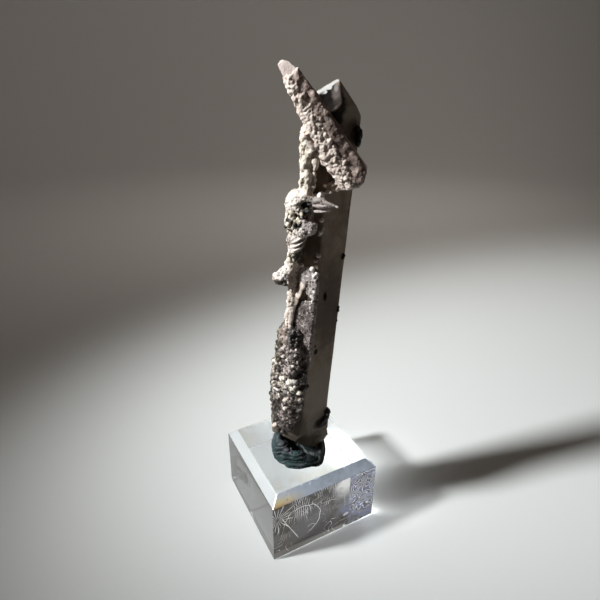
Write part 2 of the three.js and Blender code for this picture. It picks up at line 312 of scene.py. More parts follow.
# the camera
cameraSettings = {
    "place": (-0.05997, -0.1119, 0.14192),
    "tilt": 63.98,
    "turn": -28.19,
    "roll": 0.36,
    "lens": 28.76,
}
lens = bpy.data.cameras.new("viewLens")
lens.lens = cameraSettings["lens"]
lens.clip_start = 0.01
camera = bpy.data.objects.new("viewCamera", lens)
camera.matrix_world = (
    Matrix.Translation(cameraSettings["place"])
    @ Matrix.Rotation(math.radians(cameraSettings["turn"]), 4, "Z")
    @ Matrix.Rotation(math.radians(cameraSettings["tilt"]), 4, "X")
    @ Matrix.Rotation(math.radians(cameraSettings["roll"]), 4, "Z")
)
scene.collection.objects.link(camera)
scene.camera = camera
scene.view_settings.view_transform = "Standard"

# the floor with its curved back wall, and the lights
stageSettings = {
    "floorDrop": -0.0003,
    "floorRadius": 0.65,
    "curveRadius": 0.35,
    "wallHeight": 1.1,
    "color": (0.82, 0.82, 0.81),
}
lightSettings = {
    "keyFrom": (-0.788, -0.256, 0.559),
    "keyDistance": 0.88,
    "keyAim": (0.147, 0.003, 0),
    "keyPower": 41.5,
    "keyRadius": 0.045,
    "keyCone": 26,
    "keyColor": (0.96, 1.0, 1.0),
    "backPlace": (0.24, 0.14, 0.45),
    "backAim": (0.24, 0.26, 0.35),
    "backPower": 2.6,
    "backRadius": 0.08,
    "backCone": 150,
    "backColor": (1.0, 0.93, 0.85),
    "airColor": (0.042, 0.033, 0.026),
}


def makeStage():
    bm = bmesh.new()
    settings = stageSettings
    start = bm.verts.new((0, 0, settings["floorDrop"]))
    # the profile runs out along the floor, up a quarter curve and up the wall
    points = [(settings["floorRadius"], settings["floorDrop"])]
    for step in range(1, 13):
        angle = math.radians(90 * step / 12)
        points.append(
            (
                settings["floorRadius"] + settings["curveRadius"] * math.sin(angle),
                settings["floorDrop"] + settings["curveRadius"] * (1 - math.cos(angle)),
            )
        )
    points.append((points[-1][0], settings["wallHeight"]))
    profile = [start] + [bm.verts.new((x, 0, z)) for x, z in points]
    edges = [bm.edges.new(pair) for pair in zip(profile, profile[1:])]
    bmesh.ops.spin(
        bm, geom=profile + edges, cent=(0, 0, 0), axis=(0, 0, 1), angle=math.tau, steps=96, use_merge=True
    )
    bmesh.ops.remove_doubles(bm, verts=bm.verts, dist=1e-6)
    bmesh.ops.recalc_face_normals(bm, faces=bm.faces)
    mesh = bpy.data.meshes.new("floor")
    bm.to_mesh(mesh)
    bm.free()
    mesh.polygons.foreach_set("use_smooth", [True] * len(mesh.polygons))
    floor = bpy.data.objects.new("floor", mesh)
    scene.collection.objects.link(floor)
    mesh.materials.append(Paint("paleFloor", settings["color"], 0.9).material)
    print("made the stage")


def addSpot(name, place, aim, power, radius, cone, color):
    lamp = bpy.data.lights.new(name, "SPOT")
    lamp.energy = power
    lamp.color = color
    lamp.shadow_soft_size = radius
    lamp.spot_size = math.radians(cone)
    lamp.spot_blend = 1.0
    spot = bpy.data.objects.new(name, lamp)
    spot.location = place
    spot.rotation_euler = (place - aim).to_track_quat("Z", "Y").to_euler()
    scene.collection.objects.link(spot)


def makeLights():
    s = lightSettings
    turned = Matrix.Rotation(math.radians(specimen["turn"]), 4, "Z")
    aim = Vector(s["keyAim"])
    place = aim + (turned @ Vector(s["keyFrom"])).normalized() * s["keyDistance"]
    addSpot("keyLamp", place, aim, s["keyPower"], s["keyRadius"], s["keyCone"], s["keyColor"])
    place, aim = Vector(s["backPlace"]), Vector(s["backAim"])
    addSpot("backLamp", place, aim, s["backPower"], s["backRadius"], s["backCone"], s["backColor"])
    world = bpy.data.worlds.new("roomAir")
    world.use_nodes = True
    world.node_tree.nodes["Background"].inputs["Color"].default_value = (*s["airColor"], 1)
    scene.world = world
    print("made the lights")


makeStage()
makeLights()

# the acrylic block, in millimetres from the middle of its underside
block = {
    "width": 38.0,
    "height": 25.0,
    "chamfer": 2.8,
    "edge": 0.16,
    "clear": (0.97, 0.985, 1.0),
    # painted tints: a reflection on the front bevel, the bloom, warm shade on the top and the spectrum
    "bevelReflectionTint": (0.62, 0.7, 0.84),
    "bloomTint": (0.3, 0.38, 0.8),
    "warmShadeTint": (0.8, 0.74, 0.6),
    "spectrum": [
        (0.0, (0.62, 0.38, 0.2)), (0.25, (0.98, 0.72, 0.36)), (0.5, (0.98, 0.9, 0.66)),
        (0.75, (0.88, 0.88, 0.97)),
    ],
    "fanCorner": (-17.6, -19.0, 17.2),
    "loopCentre": (-9.0, -19.0, 12.0),
    "loopRadius": 8.1,
    "ior": 1.49,
    # how milky each of these makes the surface, and how rough the milky parts are
    "haze": {"front": 0.35, "left": 0.3, "bloom": 0.45, "sheen": 0.8, "rainbow": 0.85, "hairReflections": 0.9},
    "hazeRough": 0.4,
    # painted glow of the hairlines, the sheen and the bloom
    "glow": {"hairReflections": 0.4, "sheen": 0.4, "bloom": 0.1},
    "glowTint": (0.6, 0.66, 1.0),
    # what the lit sides and the far ones let through of the lamp's light
    "litSide": (0.96, 0.96, 0.96),
    "farSide": (0.3, 0.3, 0.3),
}


def hairReflectionsOf(place, x, z):
    # painted reflections of hairs: bundles of hairlines high on the front, a fan at its left corner,
    # one wide loop and a tangle on its right
    mathNode = place.paint.mathNode
    drift = place.noise(0.16, 2, 0.5, 0.4)
    bundles = place.noise(0.3, 2, 0.5).step(0.4, 0.56) * x.step(-14, -11) * x.step(7, 3)
    grass = (x * 1.3 + drift * 5.0).line(0.13) * (z + drift * 9.0).step(15.0, 21.0) * bundles
    fanX, _, fanZ = block["fanCorner"]
    fanTurn = mathNode("ARCTAN2", z - fanZ, x - fanX)
    fanDistance = place.distance(block["fanCorner"])
    fanLengths = mathNode("SINE", fanTurn * 9.0) * 1.6 + fanDistance
    fan = (fanTurn * 3.4 + drift).line(0.12) * fanLengths.step(5.6, 3.6) * fanDistance.step(0.2, 0.8)
    hairs = (x * 0.0808 + (z * 0.04 + 1.112)).line(0.012) * x.step(-16.5, -15.5) * x.step(-10.0, -10.8)
    wobble = drift * 3.0 + place.distance(block["loopCentre"])
    offRing = mathNode("ABSOLUTE", wobble - block["loopRadius"])
    loop = (1.0 - offRing.step(0.03, 0.14)) * (x + z).step(-2, 1)
    knots = (place.noise(0.14, 1.5, 0.4, 0.8) * 24.0).line(0.17)
    tangle = knots * x.step(8, 9.5) * z.step(1, 7) * drift.step(0.2, 0.45)
    strays = (place.noise(0.09, 1, 0.4, 0.5) * 11.0).line(0.06) * place.noise(0.2, 1).step(0.5, 0.6)
    return grass | fan | hairs | loop | tangle | strays * 0.6


def makeAcrylic():
    paint = Paint("clearAcrylic", block["clear"], 0.0)
    paint.put("IOR", block["ior"])
    place = paint.place()
    x, y, z = place.parts()
    sideX, sideY, _ = paint.add("ShaderNodeNewGeometry", {}, "True Normal").parts()
    half, shoulder = block["width"] / 2, block["height"] - block["chamfer"]
    front = (y < 0.1 - half) * (z < shoulder)
    slanted = z > shoulder + 0.05
    frontBevel = slanted * (y < block["chamfer"] - half - 0.05) * (y < x)
    leftBevel = slanted * (x < block["chamfer"] - half - 0.05) * (x < y)
    cloud = place.noise(0.5, 3)
    # painted reflections of hairs, as white lines on the front
    hairReflections = hairReflectionsOf(place, x, z) * front
    # painted reflections: a bluish bloom on the right of the front and a white one just left of it
    beside = x.step(2.0, 7.0) * z.step(4, 8) * z.step(16, 10)
    bloom = (x.step(8.4, 9.2) | beside) * front * cloud.step(0.2, 0.75)
    uneven = cloud * 6.0 + x
    # painted highlight: a white sheen high on the front
    sheen = uneven.step(4.0, 10.0) * (x < 8.8) * z.step(12, 21) * front
    # painted colours of the spectrum, standing in for light split by the bevel, where the bevel meets the
    # left corner
    rainbow = frontBevel * uneven.step(-3.0, -13.0)
    spectrum = ((z - shoulder) * 0.36).ramp(block["spectrum"])
    milk = block["haze"]
    haze = frontBevel * (cloud * 0.5 + milk["front"]) | leftBevel * milk["left"] | bloom * milk["bloom"]
    haze = haze | sheen * milk["sheen"] | rainbow * milk["rainbow"] | hairReflections * milk["hairReflections"]
    # painted warm shade in patches near the edges of the top
    rim = y.step(-9, -15) | x.step(9, 15) | (y - x).step(16, 26)
    warmShade = (z > block["height"] - 0.1) * rim * place.noise(0.16, 3, 0.6, 0.6).step(0.42, 0.6)
    color = paint.mix(warmShade * 0.7, block["clear"], block["warmShadeTint"])
    # painted reflection: the front bevel tinted blue-grey
    color = paint.mix(frontBevel, color, block["bevelReflectionTint"])
    color = paint.mix(bloom * 0.9, color, block["bloomTint"])
    color = paint.mix(rainbow, color, spectrum)
    paint.put("Base Color", paint.mix(hairReflections * 0.8 | sheen, color, (1.0, 1.0, 1.0)))
    paint.put("Transmission Weight", 1.0 - haze)
    paint.put("Roughness", haze * block["hazeRough"])
    # painted glow: the hairlines, the sheen and the bloom give off light of their own
    glow = block["glow"]
    light = hairReflections * glow["hairReflections"] | sheen * glow["sheen"] | bloom * glow["bloom"]
    paint.put("Emission Color", paint.mix(bloom, (1.0, 1.0, 1.0), block["glowTint"]))
    paint.put("Emission Strength", light)
    # lamp light goes straight through the lit sides, and little of it leaves by the far ones
    farSide = (sideX - sideY) > 0.6
    through = paint.mix(farSide, block["litSide"], block["farSide"])
    straight = paint.add("ShaderNodeBsdfTransparent", {"Color": through})
    shadowRay = paint.add("ShaderNodeLightPath", {}, "Is Shadow Ray")
    surface = addNode(
        paint.tree, "ShaderNodeMixShader", {0: shadowRay, 1: paint.shader.outputs[0], 2: straight}
    )
    paint.tree.links.new(surface.outputs[0], paint.tree.nodes["Material Output"].inputs["Surface"])
    return paint.material


def makeBlock():
    bm = bmesh.new()
    bmesh.ops.create_cube(bm, size=1)
    bmesh.ops.scale(bm, vec=(block["width"], block["width"], block["height"]), verts=bm.verts)
    bmesh.ops.translate(bm, vec=(0, 0, block["height"] / 2), verts=bm.verts)
    top = [e for e in bm.edges if min(v.co.z for v in e.verts) > block["height"] - 1e-3]
    bmesh.ops.bevel(
        bm, geom=top, offset=block["chamfer"], offset_type="OFFSET", segments=1, profile=0.5,
        affect="EDGES", material=-1,
    )
    softenEdges(bm, block["edge"])
    finishPiece("displayBlock", bm, [makeAcrylic()], ["acrylic_block"], toMetres, False)


makeBlock()

# the tack putty
putty = {
    "centre": (0, -1.3),
    "voxel": 0.28,
    "foldDepth": 0.55,
    "ripple": 0.08,
    "smooths": 9,
    "wallTop": (31.5, 33.5),  # heights between which the folds die out
    "crease": 0.16,
    "floor": 25.0,
    # painted shade over the inside of the bowl, in front of the crystal
    "shadedBowl": (0.9, -2.6, 6.2, 4.2),  # the dark inside in front of the crystal: x, y, half width, half depth
    "teals": [(0.3, (0.01, 0.022, 0.024)), (0.52, (0.026, 0.056, 0.058)), (0.72, (0.055, 0.115, 0.115))],
    # painted sheen on the faces that look up
    "mauve": (0.085, 0.07, 0.085),
    "rightShade": (0.012, 0.016, 0.016),
    "creaseShade": (0.008, 0.012, 0.012),
    "color": (0.05, 0.1, 0.1),
    "rough": 0.62,
    # painted shade: where it begins and where it is full, from left to right
    "rightShadeFrom": (1.5, 6.0),  # from left to right
    "bump": (0.4, 0.0002),
}
# a low pad with a wall round it, high on the left and low at the front right
puttyLumps = [
    (0, -1.3, 26.6, 8.5, 8.3, 2.4), (-6.1, -1.4, 28.7, 2.7, 5.4, 4.2, -8, 0),
    (-5.4, -4.2, 28.6, 2.9, 2.6, 4.6, 0, 8), (-6.6, -2.2, 32.2, 1.1, 1.3, 1.6),
    (-3.2, -5.9, 28.4, 2.6, 2.0, 3.5, -20, 10), (-0.6, -7.0, 28.2, 3.4, 1.6, 3.6, 16, 14),
    (2.6, -6.9, 27.4, 3.6, 1.7, 2.6, 14, 10), (5.4, -5.0, 26.8, 3.0, 3.2, 2.3, 4, 4),
    (7.2, -1.6, 27.6, 1.6, 4.4, 3.2), (6.0, 3.0, 28.8, 2.6, 3.6, 3.6), (0.4, 5.0, 29.0, 6.6, 2.7, 3.9),
    (-4.6, 3.6, 29.0, 3.4, 3.2, 3.9), (1.4, 3.0, 29.2, 5.2, 3.0, 3.8),
]


def makePuttyPaint():
    paint = Paint("tackPutty", putty["color"], putty["rough"])
    place = paint.place(True)
    color = place.noise(0.35, 4, 0.6, 0.6).ramp(putty["teals"])
    up = paint.add("ShaderNodeNewGeometry", {}, "Normal").parts()[2].step(0.0, 0.6)
    # painted sheen: mauve patches on the faces that look up
    color = paint.mix(place.noise(0.28, 3, 0.5, 0.3).step(0.46, 0.58) * up * 0.8, color, putty["mauve"])
    # painted shade, darker towards the right, away from the lamp
    color = paint.mix(place.parts()[0].step(*putty["rightShadeFrom"]) * 0.75, color, putty["rightShade"])
    # painted shade in the creases under the lips and inside the bowl
    color = paint.mix(paint.attribute("paintedShade") * 0.85, color, putty["creaseShade"])
    paint.put("Base Color", color)
    paint.bump(place.noise(2.6, 4, 0.6), *putty["bump"])
    return paint.material


def makePutty():
    bm = bmesh.new()
    addLumps(bm, puttyLumps)
    bm = remeshed(bm, putty["voxel"], putty["smooths"])
    paintedShade = bm.verts.layers.float.new("paintedShade")
    midX, midY = putty["centre"]
    bowlX, bowlY, halfWidth, halfDepth = putty["shadedBowl"]
    for vertex in bm.verts:
        point = vertex.co
        around = math.atan2(point.x - midX, midY - point.y)
        # sheets of putty lapped over each other, sinking to the right, with a crease under each lip
        wander = roughness3(point, 6.0, 4, 2)
        level = (0.62 * (point.z - putty["floor"]) - 0.75 * around + 0.9 * wander) % 1.0
        sides = 1 - fade(point.z, *putty["wallTop"])
        crease = (1 - fade(level, 0.03, putty["crease"])) * fade(level, 0.0, 0.03)
        step = level - 0.5 - 1.3 * crease
        ripple = putty["ripple"] * roughness3(point, 1.1, 8)
        vertex.co = point + vertex.normal * (putty["foldDepth"] * step * sides + ripple)
        # painted shade in the creases and over the inside of the bowl
        inside = math.hypot((point.x - bowlX) / halfWidth, (point.y - bowlY) / halfDepth)
        vertex[paintedShade] = min(1, crease * sides + 1.2 * (1 - fade(inside, 0.8, 1.0)))
    for vertex in bm.verts:
        vertex.co.z = max(vertex.co.z, putty["floor"])
    finishPiece("tackPutty", bm, [makePuttyPaint()], ["tack_putty"])


makePutty()

# the quartz crystals
tipSlope = 38.2  # degrees between a tip face and the prism face under it
quartzFinish = {
    "ior": 1.544,
    "shine": 0.1,
    "clouds": (0.36, 0.66),  # where the dark tone ends and the light one begins
    "streaks": [(0.3, (0.55, 0.55, 0.55)), (0.7, (1.3, 1.3, 1.3))],
    "streakStretch": (3.2, 3.2, 0.1),
    "streakShare": 0.35,
    "specks": (0.66, 0.72),
    "dullRough": 0.95,
    "bump": (0.4, 0.00015),
}
crystalWave = {"wide": 2.4, "fine": 0.7, "fineShare": 0.4, "stretch": 4}

mainCrystal = {
    "foot": (0.8, 0, 33),
    "apex": (9.2, 5.5, 139.7),
    "reach": (7.1, 7.3, 5.5, 7.1, 6.4, 5.7),
    "firstFace": -80,
    "taper": 0.35,
    "tipSetback": (-2.5, 0, 0, 0.3, 0.2, 0),
    "skirt": 10,
    "edge": 0.22,
    "rings": ((-10, 92, 0.9), (92, 108, 0.35)),
    "slices": 36,
    "wave": 0.09,
    "seed": 3,
}
crossCrystal = {
    "foot": (14.3, -3.4, 116.0),
    "apex": (-5.5, -5.4, 145.4),
    "reach": (3.8, 3.7, 4.4, 3.1, 3.6, 3.9),
    "firstFace": -55,
    "taper": 4.2,
    "edge": 0.55,
    "rings": ((0.6, 36, 0.4),),
    "slices": 30,
    "wave": 0.16,
    "seed": 17,
}
sideCrystal = {
    "foot": (13.9, -4.0, 114.9),
    "apex": (4.0, -5.0, 126.4),
    "reach": (2.3, 2.3, 2.3, 2.3, 2.3, 2.3),
    "firstFace": -92,
    "taper": 3,
    "edge": 0.3,
    "rings": ((0.4, 15, 0.4),),
    "slices": 24,
    "wave": 0.14,
    "seed": 29,
}
brokenFoot = [
    ((0.27, -7.8, 34.9), (-0.5, -0.6, -1)),
    ((-6.5, 0, 35.2), (-0.75, 0.1, -1)),
    ((8.4, 0, 34.0), (1, 0.3, -0.5)),
    ((0.6, -7.4, 38), (0.15, -1, -0.25)),
]
crossTipCut = [
    ((-3.4, -5.4, 143), (-0.08, -0.25, 1)),
    ((-2, -6.2, 141.2), (-0.2, -0.93, 0.32)),
    ((-5.0, -5.4, 142.4), (-0.9, -0.1, 0.45)),
]
crossFootCuts = [((15.8, -3, 117.5), (1, 0, -0.25)), ((14, -3, 114.8), (0.15, -0.1, -1))]
# worn edge of the main tip: how far it is planed off and which way it faces, then the pale strip
# along its top, painted lighter as a highlight
brightRidge = {
    "below": 0.45, "away": (-0.417, -0.514, 0.787),
    "from": (4.2, 3.8, 136.2), "to": (8.8, 4.7, 139.3), "width": (0.65, 0.95),
}
# worn hollow under the pale strip: place, half sizes, depth
tipHollow = {"centre": (6.2, 2.4, 134.2), "reach": (2.6, 3.2, 2.7), "depth": 0.8,
             "facing": (-0.27, -0.74, 0.62), "fade": (0.35, 1.1)}
# narrow slot in the front right face; its width and height are halves
slot = {
    "middle": (7.2, -2.2, 83.7), "outward": (0.64, -0.768, 0.0),
    "width": 0.24, "height": 1.05, "lean": 32, "depth": 0.7,
}
# the foot swells to the right: the heights and the places in x between which it fades, how far
footFlare = {"heights": (38.0, 42.5), "across": (4.5, 8.5), "out": 1.0}


def crystalPlace(spec):
    foot = Vector(spec["foot"])
    span = Vector(spec["apex"]) - foot
    upright = Vector((0, 0, 1)).rotation_difference(span).to_matrix().to_4x4()
    return Matrix.Translation(foot) @ upright, span.length


def crystalBar(spec, cuts=(), grow=0.0):
    # a bar cut face by face to a six-sided crystal
    place, length = crystalPlace(spec)
    bm = bmesh.new()
    bmesh.ops.create_cube(bm, size=1)
    skirt = spec.get("skirt", 0)
    bmesh.ops.scale(bm, vec=(30, 30, length + skirt), verts=bm.verts)
    bmesh.ops.translate(bm, vec=(0, 0, (length - skirt) / 2), verts=bm.verts)
    for index, (reach, setback) in enumerate(zip(spec["reach"], spec.get("tipSetback", (0,) * 6))):
        turn = math.radians(spec["firstFace"] + 60 * index)
        outward = Vector((math.sin(turn), -math.cos(turn), 0))
        lean = Vector((0, 0, math.tan(math.radians(spec["taper"]))))
        rise = Vector((0, 0, math.tan(math.radians(tipSlope))))
        cutAway(bm, outward * (reach + grow), outward + lean)
        cutAway(bm, Vector((0, 0, length - setback + grow)), outward + rise)
    bmesh.ops.transform(bm, matrix=place, verts=bm.verts)
    for point, away in cuts:
        cutAway(bm, Vector(point), Vector(away))
    return bm


def growCrystal(spec, cuts):
    # the cut bar with softened edges, split fine enough to carry its own unevenness
    place, _ = crystalPlace(spec)
    bm = crystalBar(spec, cuts)
    softenEdges(bm, spec["edge"])
    axis = (place.to_3x3() @ Vector((0, 0, 1))).normalized()
    for start, end, gap in spec["rings"]:
        for step in range(int((end - start) / gap)):
            sliceThrough(bm, place @ Vector((0, 0, start + step * gap)), axis)
    for step in range(spec["slices"]):
        turn = math.pi * (step + 0.4) / spec["slices"]
        across = place.to_3x3() @ Vector((math.cos(turn), math.sin(turn), 0))
        sliceThrough(bm, place @ Vector((0, 0, 0)), across)
    bmesh.ops.triangulate(bm, faces=[f for f in bm.faces if len(f.verts) > 4])
    bm.normal_update()
    inverse = place.inverted()
    for vertex in bm.verts:
        inside = inverse @ vertex.co
        stretched = Vector((inside.x, inside.y, inside.z / crystalWave["stretch"]))
        swell = spec["wave"] * roughness3(stretched, crystalWave["wide"], spec["seed"])
        fine = roughness3(inside, crystalWave["fine"], spec["seed"] + 9)
        swell += crystalWave["fineShare"] * spec["wave"] * fine
        vertex.co += vertex.normal * swell
    return bm


def sinkSlot(bm, outward):
    # four planes bound the slot and the faces between them sink inwards
    middle = Vector(slot["middle"])
    turn = Matrix.Rotation(math.radians(slot["lean"]), 3, outward)
    along = turn @ Vector((0, 0, 1))
    across = outward.cross(along)
    for axis, half in ((along, slot["height"]), (across, slot["width"])):
        for side in (-1, 1):
            sliceThrough(bm, middle + axis * half * side, axis)
    bm.normal_update()
    chosen = []
    for face in bm.faces:
        offset = face.calc_center_median() - middle
        near = abs(offset.dot(along)) < slot["height"] and abs(offset.dot(across)) < slot["width"]
        if near and face.normal.dot(outward) > 0.8:
            chosen.append(face)
    made = bmesh.ops.extrude_face_region(bm, geom=chosen)["geom"]
    bmesh.ops.delete(bm, geom=chosen, context="FACES_ONLY")
    sunk = [part for part in made if isinstance(part, bmesh.types.BMVert)]
    bmesh.ops.translate(bm, vec=outward * -slot["depth"], verts=sunk)
    bm.normal_update()


def growMain():
    place, length = crystalPlace(mainCrystal)
    away = place.to_3x3() @ Vector(brightRidge["away"])
    ridge = (place @ Vector((0, 0, length))) - away.normalized() * brightRidge["below"]
    bm = growCrystal(mainCrystal, brokenFoot + [(ridge, away)])
    sinkSlot(bm, Vector(slot["outward"]))
    # the ridge layer marks the strip painted as a highlight
    layer = bm.verts.layers.float.new("ridge")
    start, end = Vector(brightRidge["from"]), Vector(brightRidge["to"])
    span = end - start
    centre, reach = Vector(tipHollow["centre"]), tipHollow["reach"]
    facing = Vector(tipHollow["facing"])
    for vertex in bm.verts:
        share = min(max((vertex.co - start).dot(span) / span.length_squared, 0), 1)
        distance = (vertex.co - start - span * share).length + 0.25 * roughness3(vertex.co, 0.9, 41)
        vertex[layer] = 1 - fade(distance, *brightRidge["width"])
        flare = (1 - fade(vertex.co.z, *footFlare["heights"])) * fade(vertex.co.x, *footFlare["across"])
        vertex.co.x += footFlare["out"] * flare * (1 + 0.7 * roughness3(vertex.co, 2.2, 43))
        offset = vertex.co - centre
        distance = math.sqrt(sum((o / r) ** 2 for o, r in zip(offset, reach)))
        if vertex.normal.dot(facing) > 0.93:
            uneven = distance + 0.25 * roughness3(vertex.co, 1.6, 31)
            vertex.co -= facing * tipHollow["depth"] * (1 - fade(uneven, *tipHollow["fade"]))
    return bm


def makeQuartz(name, dark, light, stainsAndShade, clear, rough, ridge=None):
    # stains and painted shade: centre, half sizes, colour, strength, edge
    paint = Paint(name, light, rough)
    place = paint.place(True)
    finish = quartzFinish
    color = place.noise(0.22, 5, 0.62, 0.5).ramp(list(zip(finish["clouds"], (dark, light))))
    streak = place.mapped(finish["streakStretch"]).noise(1.0, 4, 0.65)
    color = paint.mix(finish["streakShare"], color, streak.ramp(finish["streaks"]), "MULTIPLY")
    specks = place.noise(2.2, 3, 0.6).step(*finish["specks"]) * 0.5
    color = paint.mix(specks, color, tuple(0.3 * part for part in dark))
    ragged = place.noise(0.8, 3) * 0.7
    dull = 0.0
    for centre, reach, patchColor, strength, edge in stainsAndShade:
        # an uneven rounded patch
        offset = place.mapped([1 / r for r in reach], [-c / r for c, r in zip(centre, reach)])
        patch = (1.0 - (ragged + offset.distance()).step(1.35 - edge, 1.35 + edge)) * strength
        color = paint.mix(patch, color, patchColor)
        dull = patch | dull
    # painted highlight along the strip on the main tip
    if ridge:
        color = paint.mix(paint.attribute("ridge"), color, ridge)
    paint.put("Base Color", color)
    paint.put("Roughness", dull * (finish["dullRough"] - rough) + rough)
    paint.put("IOR", finish["ior"])
    paint.put("Specular IOR Level", finish["shine"])
    paint.put("Transmission Weight", clear)
    paint.bump(streak + place.noise(3.5, 4, 0.65) * 0.8, *finish["bump"])
    return paint.material


# patches of tone and stain, and of painted shade, on the main crystal
mainStainsAndShade = [
    ((12.8, 2.0, 133.0), (3.4, 5.0, 6.4), (0.46, 0.39, 0.33), 0.85, 0.5),
    # painted shade: near black over the hollow of the main tip
    ((6.6, 2.4, 134.0), (3.8, 3.4, 5.4), (0.007, 0.005, 0.0045), 1.0, 0.12),
    ((8.9, 3.0, 135.9), (1.3, 2.6, 2.0), (0.11, 0.088, 0.08), 0.97, 0.35),
    ((8.6, 3.0, 137.2), (0.5, 2.6, 0.8), (0.26, 0.235, 0.22), 0.9, 0.35),
    # painted highlight along the tip's top edge
    ((5.6, 3.4, 136.3), (0.9, 2.6, 0.5), (0.62, 0.6, 0.58), 0.95, 0.2),
    ((6.8, 3.4, 137.4), (0.9, 2.6, 0.6), (0.6, 0.58, 0.56), 0.95, 0.2),
    ((7.7, 3.8, 138.3), (0.5, 2.6, 0.5), (0.4, 0.38, 0.36), 0.9, 0.3),
    # painted shade under the tip's top edge and under the cross crystal
    ((9.6, 1.6, 133.2), (1.7, 2.6, 2.0), (0.05, 0.038, 0.033), 0.95, 0.3),
    ((7.8, -0.6, 130.0), (2.8, 4.0, 3.4), (0.012, 0.009, 0.008), 0.95, 0.3),
    ((12.5, 3.0, 127.0), (3.0, 5.0, 3.2), (0.07, 0.05, 0.04), 0.7, 0.4),
    ((7.0, -2.6, 119.0), (5.5, 4.0, 8.0), (0.26, 0.205, 0.16), 0.7, 0.4),
    # dark olive under the plates, partly painted shade
    ((3.4, -3.6, 99.5), (2.4, 3.0, 4.0), (0.1, 0.08, 0.045), 0.8, 0.4),
    ((4.4, -3.6, 94.0), (2.4, 3.0, 5.0), (0.24, 0.18, 0.15), 0.7, 0.4),
    ((9.0, -2.0, 79.0), (5.5, 6.0, 13.0), (0.15, 0.118, 0.095), 0.85, 0.5),
    # painted shadow of the ribbon on the front left face
    ((2.6, -4.8, 84.4), (1.5, 1.6, 1.7), (0.05, 0.036, 0.03), 0.9, 0.2),
    ((8.0, -3.0, 51.0), (7.0, 6.0, 9.0), (0.36, 0.31, 0.26), 0.8, 0.5),
    ((6.0, -3.0, 38.0), (7.0, 6.0, 5.0), (0.22, 0.19, 0.165), 0.8, 0.5),
    # painted shade in the slot
    ((7.2, -2.2, 83.7), (0.6, 1.2, 1.3), (0.008, 0.007, 0.006), 0.95, 0.15),
    ((4.8, -3.9, 66.7), (0.75, 0.9, 1.0), (0.01, 0.008, 0.007), 0.9, 0.2),
    ((4.6, -4.1, 68.7), (0.4, 0.6, 0.6), (0.02, 0.016, 0.014), 0.8, 0.3),
    # painted shade in the groove by the lowest knob
    ((7.0, -1.9, 38.9), (2.9, 2.6, 2.0), (0.02, 0.016, 0.014), 0.92, 0.3),
    ((0.2, -7.4, 39.0), (3.4, 2.4, 9.0), (0.13, 0.11, 0.092), 0.85, 0.4),
    # painted shade under the broken foot
    ((0.0, -5.4, 33.2), (9.0, 6.0, 3.6), (0.05, 0.04, 0.032), 0.85, 0.4),
    ((-1.6, -6.6, 35.4), (4.6, 4.0, 2.4), (0.05, 0.04, 0.033), 0.9, 0.3),
]
# painted highlight on the strip along the main tip's top edge
ridgeHighlight = (0.55, 0.53, 0.51)
crossStainsAndShade = [
    ((5.0, -4.4, 132.5), (2.6, 5.0, 6.0), (0.46, 0.37, 0.34), 0.6, 0.6),
    ((1.2, -4.4, 136.6), (3.4, 5.0, 4.4), (0.4, 0.285, 0.245), 0.8, 0.5),
    # dark, partly painted shade, on the right of the cross crystal next to the main tip
    ((6.6, -3.4, 133.0), (2.0, 5.0, 4.0), (0.1, 0.075, 0.065), 0.8, 0.5),
]
quartzMain = makeQuartz("smokyQuartz", (0.25, 0.195, 0.15), (0.41, 0.33, 0.26), mainStainsAndShade, 0.02, 0.5,
                        ridgeHighlight)
quartzCross = makeQuartz("mauveQuartz", (0.62, 0.49, 0.45), (0.82, 0.72, 0.67), crossStainsAndShade, 0.04, 0.6)
for name, bm, quartz in (
    ("mainCrystal", growMain(), quartzMain),
    ("crossCrystal", growCrystal(crossCrystal, crossTipCut + crossFootCuts), quartzCross),
    ("sideCrystal", growCrystal(sideCrystal, crossFootCuts), quartzCross),
):
    finishPiece(name, bm, [quartz], ["quartz_crystals"])


# druse: grains grown together over a lumpy ground
def makeGrainTree():
    # a small ball on every point, stretched by its "size" and turned by its "turn"
    tree = bpy.data.node_groups.new("grainTree", "GeometryNodeTree")
    tree.interface.new_socket(name="Geometry", in_out="INPUT", socket_type="NodeSocketGeometry")
    tree.interface.new_socket(name="Geometry", in_out="OUTPUT", socket_type="NodeSocketGeometry")
    start = tree.nodes.new("NodeGroupInput")
    end = tree.nodes.new("NodeGroupOutput")
    ball = addNode(tree, "GeometryNodeMeshIcoSphere", {"Radius": 1.0, "Subdivisions": 2}).outputs["Mesh"]
    size = addNode(tree, "GeometryNodeInputNamedAttribute", {"Name": "size"}, data_type="FLOAT_VECTOR")
    turn = addNode(tree, "GeometryNodeInputNamedAttribute", {"Name": "turn"}, data_type="FLOAT_VECTOR")
    balls = addNode(
        tree, "GeometryNodeInstanceOnPoints",
        {"Points": start.outputs[0], "Instance": ball, "Rotation": turn.outputs[0],
         "Scale": size.outputs[0]},
    )
    real = addNode(tree, "GeometryNodeRealizeInstances", {"Geometry": balls.outputs[0]})
    tree.links.new(real.outputs[0], end.inputs[0])
    return tree


grainTree = makeGrainTree()
lumpWidth = 2.2  # of the lumps in the ground under the grains


def grainBalls(grains):
    points = bpy.data.meshes.new("points")
    points.from_pydata([grain["at"] for grain in grains], [], [])
    for name in ("size", "turn"):
        layer = points.attributes.new(name, "FLOAT_VECTOR", "POINT")
        layer.data.foreach_set("vector", [value for grain in grains for value in grain[name]])
    cloud = bpy.data.objects.new("points", points)
    scene.collection.objects.link(cloud)
    cloud.modifiers.new("grains", "NODES").node_group = grainTree
    mesh = applyModifiers(cloud)
    bm = bmesh.new()
    bm.from_mesh(mesh)
    bpy.data.objects.remove(cloud)
    bpy.data.meshes.remove(mesh)
    return bm


